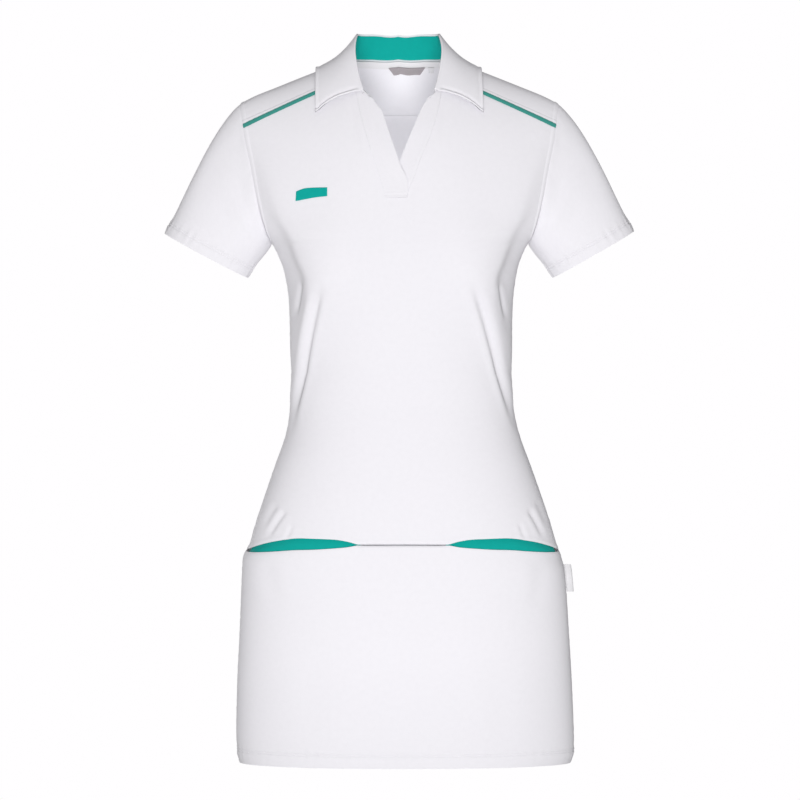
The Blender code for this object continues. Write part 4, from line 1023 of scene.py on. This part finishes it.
def make_strip(name, side, edge_lift, node):
    sign = SIDES[side]
    top_x, top_turn = neck(np.linspace(NECK_AT_YOKE_SEAM, NECK_FRONT_END, 50) + 90)
    top = over_shoulder(top_x, top_turn)
    share, across = np.linspace(0, 1, 160)[:, None], np.linspace(0, 1, 50)
    seam_z = PLACKET_END + (top[0, 2] - PLACKET_END) * share
    edge_z = PLACKET_END + (top[-1, 2] - PLACKET_END) * share
    seam_x = np.where(share > 0.999, sign * top[0, 0], read(PLACKET_SEAM, side, seam_z))
    x = seam_x + (read(PLACKET_EDGE, side, edge_z) - seam_x) * across
    z = seam_z + (edge_z - seam_z) * across
    # Its top follows the neck seam, which is curved
    to_neck = smooth(share, 0.80, 1.0)
    x = x + (sign * top[:, 0] - x[-1]) * to_neck
    z = z + (top[:, 2] - z[-1]) * to_neck
    lift = edge_lift * across * (1 - smooth(share, *OVERLAP_FADES))
    dense = on_front(x, z) + slope_normal(x, z, False) * lift[..., None]
    points, from_seam, to_edge = respace(dense, STRIP_EDGE, STRIP_EDGE, 6)
    points, from_end, _ = respace_down(points, STRIP_END, (0.0, 0.0012, 0.0030), 44)
    rows = np.linspace(0, 159, len(points)).astype(int)
    from_seam, to_edge = from_seam[rows], to_edge[rows]
    raised = hand_of(points[..., 0], points[..., 2], 7.0) * 0.5
    raised = raised + 0.00045 * (1 - smooth(from_end, 0.008, 0.012))
    raised = raised - 0.0001 * bump(from_seam, 0.0014) - 0.0003 * bump(to_edge, 0.0011)
    raised = raised + 0.00035 * bump(from_seam - 0.0034, 0.0016) + 0.0002 * bump(to_edge - 0.0030, 0.0015)
    for stitch in BOX_STITCHES if side == "right" else ():
        raised = raised - 0.0005 * bump(from_end - stitch, STITCH_WIDTH)
    strip = shell(name, ((points, FORWARDS, raised, STRIP_WALL, from_seam, from_end),), WHITE_KNIT)
    sewn_on(strip, node)


make_strip("placket_strip_over", "right", OVERLAP_LIFT, "placket_top")
make_strip("placket_strip_under", "left", -OVERLAP_LIFT, "placket_under")

# The collar
# A folded collar of two layers of the knit: its stand is sewn to the neck seam, and the fall turns down over
# it. The fall is stitched close to its edge all round, so its border is a padded rim.
COLLAR_WALL = 0.0016
FOLD_RADIUS = 0.0026
COLLAR_OVER_PIPING = 0.0035
NECK_MIDDLE_FORWARD = 0.02
FOLD_SECTION = ((0.0, -0.2), (0.95, 0.33), (0.4, 1.2))
COLLAR = table(
    "angle  off_seam  stand   inward  edge_x  edge_y  puff   bow",
    (0.0, 0.0009, 0.0318, 0.0063, 0.0000, 0.0720, 0.0040, 0.0),
    (7.0, 0.0009, 0.0318, 0.0063, 0.0114, 0.0720, 0.0040, 0.0),
    (25.0, 0.0009, 0.0328, 0.0076, 0.0403, 0.0703, 0.0033, 0.0),
    (60.0, 0.0009, 0.0324, 0.0100, 0.0860, 0.0480, -0.0020, 0.0),
    (90.0, 0.0009, 0.0294, 0.0150, 0.0978, 0.0080, -0.0045, 0.0),
    (117.0, 0.0011, 0.0183, 0.0060, 0.0985, -0.0345, -0.0010, 0.008),
    (130.0, 0.0014, 0.0095, 0.0026, 0.0988, -0.0600, 0.0015, 0.022),
    (138.0, 0.0018, 0.0044, 0.0004, 0.0985, -0.0730, 0.0020, 0.036),
)
COLLAR_EDGE = (0.0, 0.0014, 0.0022, 0.0030, 0.0038, 0.0047, 0.0057, 0.0070, 0.0090)
COLLAR_STITCH = 0.0032
COLLAR_DEGREES = 138.0
RIM_RISE = 0.0019
RIM_GROOVE = 0.0012
# Places along the line across the collar, in hundredths of the way between its points, up to past the fold
COLLAR_KNOTS = (0, 12, 30, 55, 80, 105, 130, 155, 180, *range(200, 395, 15), 400, 425, 450, 475, 500)
FOLD_ENDS = COLLAR_KNOTS.index(400)


def through(points, count):
    """A smooth line through a few points at each station, evenly spaced: points by station by axis."""
    before = 2 * points[:1] - points[1:2]
    after = 2 * points[-1:] - points[-2:-1]
    knots = np.concatenate((before, points, after))
    at = np.linspace(0, len(points) - 1, count)
    k = np.minimum(at.astype(int), len(points) - 2)
    t = (at - k)[:, None, None]
    p0, p1, p2, p3 = (knots[k + n] for n in range(4))
    return p1 + t / 2 * (p2 - p0 + t * (2 * p0 - 5 * p1 + 4 * p2 - p3 + t * (3 * (p1 - p2) + p3 - p0)))


def collar_lines(degrees):
    """Points across the collar at each station round the neck: up the stand, over the fold and down."""
    at = {name: read(COLLAR, name, degrees)[:, None] for name in COLLAR}
    foot_x, foot_turn = neck(degrees)
    low = over_shoulder(foot_x, foot_turn) + yoke_normal(foot_x, foot_turn) * at["off_seam"]
    middle_y = -NECK_MIDDLE_FORWARD * smooth(degrees, 90, 120)
    inwards = unit(stack(-foot_x, middle_y - low[:, 1], 0))
    fold = low + inwards * at["inward"] + np.array((0.0, 0.0, 1.0)) * at["stand"]
    edge_x = at["edge_x"][:, 0]
    edge_turn = turn_under(edge_x, at["edge_y"][:, 0])
    edge = over_shoulder(edge_x, edge_turn) + yoke_normal(edge_x, edge_turn) * COLLAR_OVER_PIPING
    up, away = unit(fold - low), unit(edge - fold)
    under_fold = fold - up * FOLD_RADIUS
    rows = [low, (low + under_fold) / 2]
    rows += [under_fold + (up * high + away * out) * FOLD_RADIUS for high, out in FOLD_SECTION]
    beyond = rows[-1]
    for share in (0.25, 0.5, 0.75, 1.0):
        body_x = foot_x + (edge_x - foot_x) * share
        body_turn = foot_turn + (edge_turn - foot_turn) * share
        unbowed = over_shoulder(body_x, body_turn)
        body_turn = body_turn - at["bow"][:, 0] * math.sin(math.pi * share**1.3)
        body, out = over_shoulder(body_x, body_turn), yoke_normal(body_x, body_turn)
        point = beyond + (edge - beyond) * share + body - unbowed
        point = point + out * at["puff"] * math.sin(math.pi * share)
        short = COLLAR_OVER_PIPING - ((point - body) * out).sum(axis=1, keepdims=True)
        rows.append(point + out * np.maximum(short, 0))
    return np.array(rows)


def collar_patch(sign):
    degrees = np.linspace(0, COLLAR_DEGREES, 240)
    dense = through(collar_lines(degrees), 801).transpose(1, 0, 2)
    fall, _, _ = respace(dense[:, COLLAR_KNOTS[-1] :], (0.0,), COLLAR_EDGE, 24)
    points = np.concatenate((dense[:, np.array(COLLAR_KNOTS)], fall[:, 1:]), axis=1)
    points, from_back, to_end = respace_down(points, (0.0,), COLLAR_EDGE, 78)
    points[0, :, 0] = 0.0
    step = np.linalg.norm(np.diff(points, axis=1), axis=2)
    from_foot = np.concatenate((np.zeros((len(points), 1)), np.cumsum(step, axis=1)), axis=1)
    to_edge = from_foot[:, -1:] - from_foot
    on_fall = smooth(from_foot - from_foot[:, FOLD_ENDS : FOLD_ENDS + 1], 0.001, 0.006)
    from_end = to_end + 0.03 * (1 - on_fall)
    raised = COLLAR_WALL / 2 + hand_of(sign * points[..., 0], points[..., 1] + points[..., 2], 8.0) * 0.8
    for distance, welt in ((to_edge, 0.35), (from_end, 1.0)):
        raised = raised + welt * RIM_RISE * bump(distance - 0.0018, 0.0018)
        raised = raised - welt * RIM_GROOVE * bump(distance - 0.0056, 0.0021)
    pucker = uneven(from_back, PUCKER_LENGTH, 3.0 + sign) * on_fall
    raised = raised + 0.00014 * pucker * bump(np.minimum(to_edge, from_end) - COLLAR_STITCH, 0.004)
    wall = COLLAR_WALL * (1 + 1.0 * bump(from_end, 0.0032) + 0.4 * bump(to_edge, 0.0030))
    return on_side(points, sign), UPWARDS, raised, wall, sign * from_back, from_foot


collar = shell("folded_collar", (collar_patch(-1), collar_patch(1)), WHITE_KNIT, rounding=0.3)
sewn_on(collar, "collar")

# The collar's inner stand
# A band of turquoise knit on the inside of the white stand, from the neck seam to just under the fold.
# The darker colour of each pair is painted shade, in the stitches' hollows and at the outline
TURQUOISE = ((0.0, 0.44, 0.385), (0.0, 0.37, 0.325))
TURQUOISE_KNIT = knit("turquoise_knit", *TURQUOISE, 0.9, 0.0009, 0.0007, 0.0001, 0.0)
STAND_ENDS_AT = 116.5
STAND_STARTS = 0.10
STAND_UNDER_FOLD = -0.0004
LAID_GAP = 0.0003
TRIM_WALL = 0.0010
NEAR_STAND_EDGE = (0.0, 0.0010, 0.0022)


def stand_patch(sign):
    foot, halfway, top = collar_lines(np.linspace(0, STAND_ENDS_AT, 130))[:3]
    up = top - foot
    inwards = np.cross(np.gradient(foot, axis=0), up)
    inwards[0, 0] = 0.0
    inwards = unit(inwards) * np.where((inwards * foot).sum(axis=1, keepdims=True) > 0, -1.0, 1.0)
    bowed = through(np.stack((foot + up * STAND_STARTS, halfway, top - unit(up) * STAND_UNDER_FOLD)), 40)
    dense = (bowed + inwards * (COLLAR_WALL / 2 + LAID_GAP)).transpose(1, 0, 2)
    points, from_foot, to_top = respace(dense, NEAR_STAND_EDGE, NEAR_STAND_EDGE, 8)
    points, from_back, to_end = respace_down(points, (0.0,), (0.0, 0.0010, 0.0024), 60)
    points[0, :, 0] = 0.0
    rows = np.linspace(0, 129, len(points)).astype(int)
    edge = np.minimum(np.minimum(from_foot[rows], to_top[rows]), to_end)
    raised = TRIM_WALL + 0.00015 * uneven(from_back, 0.016, 2.0) * smooth(edge, 0.0, 0.004)
    raised = raised - 0.0003 * bump(edge, 0.0012)
    facing = on_side(np.broadcast_to(inwards[rows][:, None], points.shape), sign)
    return on_side(points, sign), facing, raised, TRIM_WALL, sign * from_back, from_foot[rows]


inner_stand = shell("inner_stand", (stand_patch(-1), stand_patch(1)), TURQUOISE_KNIT)
sewn_on(inner_stand, "collar_stand")

# The neck tape and the labels
# A white herringbone tape covers the seam inside the back neck. A bare grey label and a small white size tag
# hang from it, narrower towards their free ends.
TAPE_WALL = 0.0007
TAPE_STARTS = -0.0028
TAPE_WIDTH = 0.009
TAPE_LENGTH = 0.16
TAPE_ENDS_AT = 73.9
TAPE_UNDER_YOKE = 0.0006
LABEL_WALL = 0.0006
LABELS_BELOW_NECK = 0.0036
LABELS_NARROW_BY = 0.28
LABELS_OFF_YOKE = 0.0032


def woven(name, light, dark, roughness, pitch, sheen):
    """A closely woven tape or satin label: fine slanting ribs that change direction across it."""
    looks = {"Roughness": roughness, "Sheen Weight": sheen}
    made, tree, ribs = patterned(name, 4 * pitch, pitch, 0.4, 0.0001, looks)
    # Darker in the low parts between the ribs: painted shade
    colour = mix(tree, ribs["Height"], (*dark, 1.0), (*light, 1.0))
    tree.links.new(colour, tree.nodes["Principled BSDF"].inputs["Base Color"])
    return made


# Each one's colour on its ribs, and a darker one for the painted shade between them
WHITE_TAPE = woven("white_tape", (0.88, 0.87, 0.88), (0.80, 0.79, 0.81), 0.75, 0.0007, 0.0)
GREY_SATIN = woven("label_grey", (0.42, 0.38, 0.40), (0.33, 0.295, 0.31), 0.45, 0.0004, 0.2)
WHITE_SATIN = woven("label_white", (0.86, 0.85, 0.87), (0.76, 0.75, 0.77), 0.5, 0.0004, 0.2)

degrees = np.linspace(-TAPE_ENDS_AT, TAPE_ENDS_AT, 121)
seam_line = over_shoulder(*neck(degrees))
further_x = 1.12 * NECK_HALF_WIDTH * np.sin(np.radians(degrees))
further = over_shoulder(further_x, turn_under(further_x, 1.12 * NECK_BACK * np.cos(np.radians(degrees))))
outwards = unit(further - seam_line)
under_yoke = seam_line - yoke_normal(*neck(degrees)) * (KNIT_WALL + TAPE_UNDER_YOKE)
across = np.linspace(0, TAPE_WIDTH, 9)[:, None]
tape_rows = np.array([under_yoke + outwards * k for k in np.linspace(TAPE_STARTS, TAPE_WIDTH, 9)])
edges_down = -0.0002 * bump(np.minimum(np.arange(9), np.arange(9)[::-1]), 0.8)[:, None]
along = np.linspace(0, TAPE_LENGTH, 121)
tape_patch = (tape_rows, -yoke_normal(*neck(degrees)), edges_down, TAPE_WALL, across, along)
neck_tape = shell("herringbone_tape", (tape_patch,), WHITE_TAPE)
sewn_on(neck_tape, "neck_tape")

# Each label's name, width, height, place across and stated flat size
for name, wide, high, middle, flat, finish, slot, node in (
    ("bare_neck_label", 0.0455, 0.0080, 0.0100, (0.046, 0.011), GREY_SATIN, "label_grey", "neck_label"),
    ("bare_size_tag", 0.0080, 0.0060, 0.0400, (0.010, 0.010), WHITE_SATIN, "label_white", "size_label"),
):
    across = np.linspace(-wide / 2, wide / 2, 33)
    drop = np.linspace(0, 1, 15)[:, None]
    seam_z = over_shoulder(*neck(np.degrees(np.arcsin((middle + across) / NECK_HALF_WIDTH))))[:, 2]
    x = middle + across * (1 - LABELS_NARROW_BY * drop)
    z = seam_z - LABELS_BELOW_NECK - high * drop
    curl = 0.0004 * drop**2 * np.sin(4 * np.pi * across / wide + 1.0)
    points = on_back(x, z) - slope_normal(x, z, True) * (LABELS_OFF_YOKE + curl[..., None])
    border = np.minimum(1 - np.abs(2 * across / wide), 2 * np.minimum(drop, 1 - drop) * high / wide)
    patch = (points, FORWARDS, 0.00012 * smooth(border, 0.03, 0.09), LABEL_WALL, across, drop * high)
    sewn_on(shell(name, (patch,), finish), node)

# The piping
# A narrow folded strip of turquoise knit over a cord, caught in each forward yoke seam from the collar to the
# armhole. Its section is round above and flatter below, where the seam holds it.
# The darker colour of each pair is painted shade, in the stitches' hollows and at the outline
PIPING = ((0.050, 0.335, 0.285), (0.035, 0.27, 0.23))
PIPING_KNIT = knit("piping_knit", *PIPING, 0.7, 0.0008, 0.0006, 0.0001, 0.08)
PIPING_WALL = 0.0006
PIPING_WIDTH = 0.0060
PIPING_HEIGHT = 0.0014
PIPING_FLATTER = 0.35
PIPING_BELOW_SEAM = 0.0020
PIPING_OFF_FRONT = 0.0005
PIPING_SHORT_OF_ARMHOLE = 0.0008
PIPING_LEAVES_COLLAR = 0.045
seam_x, seam_z = forward_seam(PIPING_SHORT_OF_ARMHOLE, 400)
first = int(np.argmax(seam_x > seam_x[0] + (seam_x[-1] - seam_x[0]) * PIPING_LEAVES_COLLAR))
seam_x, seam_z = seam_x[first::3], seam_z[first::3]
seam_points, seam_out = on_front(seam_x, seam_z), slope_normal(seam_x, seam_z, False)
seam_across = unit(np.cross(np.gradient(seam_points, axis=0), seam_out))
seam_points = seam_points + seam_across * PIPING_BELOW_SEAM
piping_along = np.concatenate(([0.0], np.cumsum(np.linalg.norm(np.diff(seam_points, axis=0), axis=1))))
piping_middle = seam_points + seam_out * PIPING_OFF_FRONT
turn = np.append(np.linspace(0, 2 * math.pi, 19)[:-1], 0.0)[:, None, None]
aside = PIPING_WIDTH / 2 * np.cos(turn)
high = PIPING_HEIGHT * np.sin(turn) * np.where(np.sin(turn) > 0, 1.0, PIPING_FLATTER)
piping_grid = piping_middle + seam_across * aside + seam_out * high
piping_round = np.linspace(0, 0.009, 19)[:, None]
for side, sign in SIDES.items():
    raised = 0.00010 * uneven(piping_along, 0.009, 2.5 - 1.5 * sign)
    grid, facing = on_side(piping_grid, sign), on_side(piping_grid - piping_middle, sign)
    patch = (grid, facing, raised, PIPING_WALL, piping_round, piping_along)
    piece = shell(side + "_piping", (patch,), PIPING_KNIT, rounding=0.4)
    sewn_on(piece, "piping_" + side)

# The tab on the chest
# A small plain tab of turquoise knit, sewn flat on the wearer's right breast, with a slightly arched top.
TAB_SIZE = (0.036, 0.0115)
TAB_CENTRE = (-0.1035, -0.1643)
TAB_WALL = 0.0007
TAB_OFF_FRONT = 0.0004
TAB_EDGES = table(
    "share  top      bottom",
    (-0.50, 0.0022, -0.0091),
    (-0.38, 0.0042, -0.0084),
    (-0.18, 0.0062, -0.0070),
    (0.10, 0.0067, -0.0052),
    (0.50, 0.0068, -0.0037),
)
wide = np.concatenate(([-0.5, -0.47, -0.44], np.linspace(-0.40, 0.40, 21), [0.44, 0.47, 0.5]))
high = np.concatenate(([-0.5, -0.42, -0.34], np.linspace(-0.25, 0.25, 5), [0.34, 0.42, 0.5]))[:, None]
x = TAB_CENTRE[0] + wide * TAB_SIZE[0] + 0 * high
top, bottom = read(TAB_EDGES, "top", wide), read(TAB_EDGES, "bottom", wide)
z = TAB_CENTRE[1] + bottom + (top - bottom) * (high + 0.5)
points = on_front(x, z) + slope_normal(x, z, False) * TAB_OFF_FRONT
from_edge = np.minimum((0.5 - np.abs(wide)) * TAB_SIZE[0], (0.5 - np.abs(high)) * TAB_SIZE[1])
raised = side_ridge(x, z) + folds(x, z, FRONT_FOLDS) + hand_of(x, z, 1.0)
raised = raised + 0.0008 * smooth(from_edge, -0.0004, 0.0016)
patch = (points, FORWARDS, raised, TAB_WALL, wide * TAB_SIZE[0], high * TAB_SIZE[1])
sewn_on(shell("breast_tab", (patch,), TURQUOISE_KNIT), "chest_tab")

# The pocket linings
# Inside each curved pocket mouth a layer of turquoise knit lies behind the front and shows in the gap.
LINING_FROM = POCKET_START - 0.003
LINING_TO = float(read(FORM, "width", HIP)) - 0.0035
LINING_ABOVE = 0.016
LINING_BELOW = 0.075
LINING_BEHIND = KNIT_WALL + 0.0012
middle_x = LINING_FROM + (LINING_TO - LINING_FROM) * np.sin(np.linspace(0, 1, 90) * math.pi / 2)
share = middle_x / float(read(FORM, "width", HIP))
seam_z, rise, drop = read(HIP_SEAM, "height", share), mouth(share, "rise"), mouth(share, "drop")
down = np.linspace(0, 1, 40)[:, None]
z = seam_z + rise + LINING_ABOVE - (LINING_ABOVE + rise + drop + LINING_BELOW) * down
x = share * read(FORM, "width", z)
off = standing_off(drop, seam_z - z) * smooth(seam_z + rise - z, 0.0, 0.008) - LINING_BEHIND
points = on_front(x, z) + slope_normal(x, z, False) * off[..., None]
raised = 0.0004 * uneven(middle_x, 0.045, 1.0) * smooth(down, 0.0, 0.3)
for side, sign in SIDES.items():
    patch = (on_side(points, sign), FORWARDS, raised, TRIM_WALL, middle_x, z)
    piece = shell(side + "_pocket_lining", (patch,), TURQUOISE_KNIT)
    sewn_on(piece, "pocket_lining_" + side)

# The label in the side seam
# A bare white ribbon folded double and caught in the wearer's left side seam below the pocket.
SIDE_LABEL = (0.0085, 0.033)
SIDE_LABEL_TOP = -0.605
SIDE_LABEL_BENDS_BACK = 0.0015
SIDE_LABEL_OFF_SEAM = 0.0004
SIDE_LABEL_WALL = 0.0004
# One layer of the ribbon, from the seam to its fold: how far out, and how far from the middle of the two
LAYER = [(0.0, -0.0007), (0.25, -0.0008), (0.5, -0.0009), (0.75, -0.0009), (0.93, -0.0006), (1.0, 0.0)]
loop = LAYER + [(out, -aside) for out, aside in LAYER[-2::-1]]
out, aside = np.array(loop).T
down = np.linspace(0, 1, 25)[:, None]
z = SIDE_LABEL_TOP - SIDE_LABEL[1] * down
wave = 0.0006 * np.sin(2.6 * np.pi * down + 0.6) * out
x = read(FORM, "width", z) + SIDE_LABEL_OFF_SEAM + SIDE_LABEL[0] * out
points = stack(x, aside + SIDE_LABEL_BENDS_BACK * out + wave, z)
facing = stack(out - 0.5, aside * 400, 0)
patch = (points, facing, 0.0, SIDE_LABEL_WALL, np.linspace(0, 0.018, len(loop)), down * SIDE_LABEL[1])
side_label = shell("bare_side_label", (patch,), WHITE_SATIN)
sewn_on(side_label, "side_label")

# The floor and the light
# A plain pale studio floor below the hanging tunic, one wide soft light in front and even light all round.
FLOOR_AT = -1.45
FLOOR_RADIUS = 2.6
AMBIENT = 0.405
BACKDROP = 1.0
bpy.ops.mesh.primitive_circle_add(
    vertices=96, radius=FLOOR_RADIUS, fill_type="NGON", location=(0, 0, FLOOR_AT)
)
floor = bpy.context.object
floor.name = "studio_floor"
pale = bpy.data.materials.new("pale_floor")
pale.use_nodes = True
pale_look = pale.node_tree.nodes["Principled BSDF"].inputs
pale_look["Base Color"].default_value = (0.60, 0.60, 0.61, 1.0)
pale_look["Roughness"].default_value = 0.9
floor.data.materials.append(pale)

# Each lamp's place, lean from straight down, width in metres and watts. One lights the back. Two small ones
# in the hollow of the neck, out of sight, light its inside as evenly as the photographer's did.
for name, place, lean, wide, watts in (
    ("front_light", (0.0, -5.2, -1.45), (101, 0, 0), 1.5, 175.0),
    ("top_light", (0.0, -0.6, 2.6), (-10, 0, 0), 3.0, 9.0),
    ("back_light", (-1.6, 5.0, 0.1), (-93, 0, 18), 1.5, 130.0),
    ("neck_light_right", (-0.060, -0.035, -0.140), (92, 0, -30), 0.03, 0.057),
    ("neck_light_left", (0.060, -0.035, -0.140), (92, 0, 30), 0.03, 0.057),
):
    bpy.ops.object.light_add(type="AREA", location=place, rotation=[math.radians(a) for a in lean])
    lamp = bpy.context.object
    lamp.name = name
    lamp.data.size = wide
    lamp.data.energy = watts
    lamp.visible_camera = False

world = bpy.data.worlds.new("studio")
bpy.context.scene.world = world
world.use_nodes = True
sight = world.node_tree.nodes.new("ShaderNodeLightPath").outputs["Is Camera Ray"]
levels = {"Value": sight, "To Min": AMBIENT, "To Max": BACKDROP}
strength = add_node(world.node_tree, "ShaderNodeMapRange", levels).outputs["Result"]
all_round = world.node_tree.nodes["Background"].inputs
all_round["Color"].default_value = (1.0, 0.99, 1.0, 1.0)
world.node_tree.links.new(strength, all_round["Strength"])
bpy.context.scene.view_settings.view_transform = "Standard"
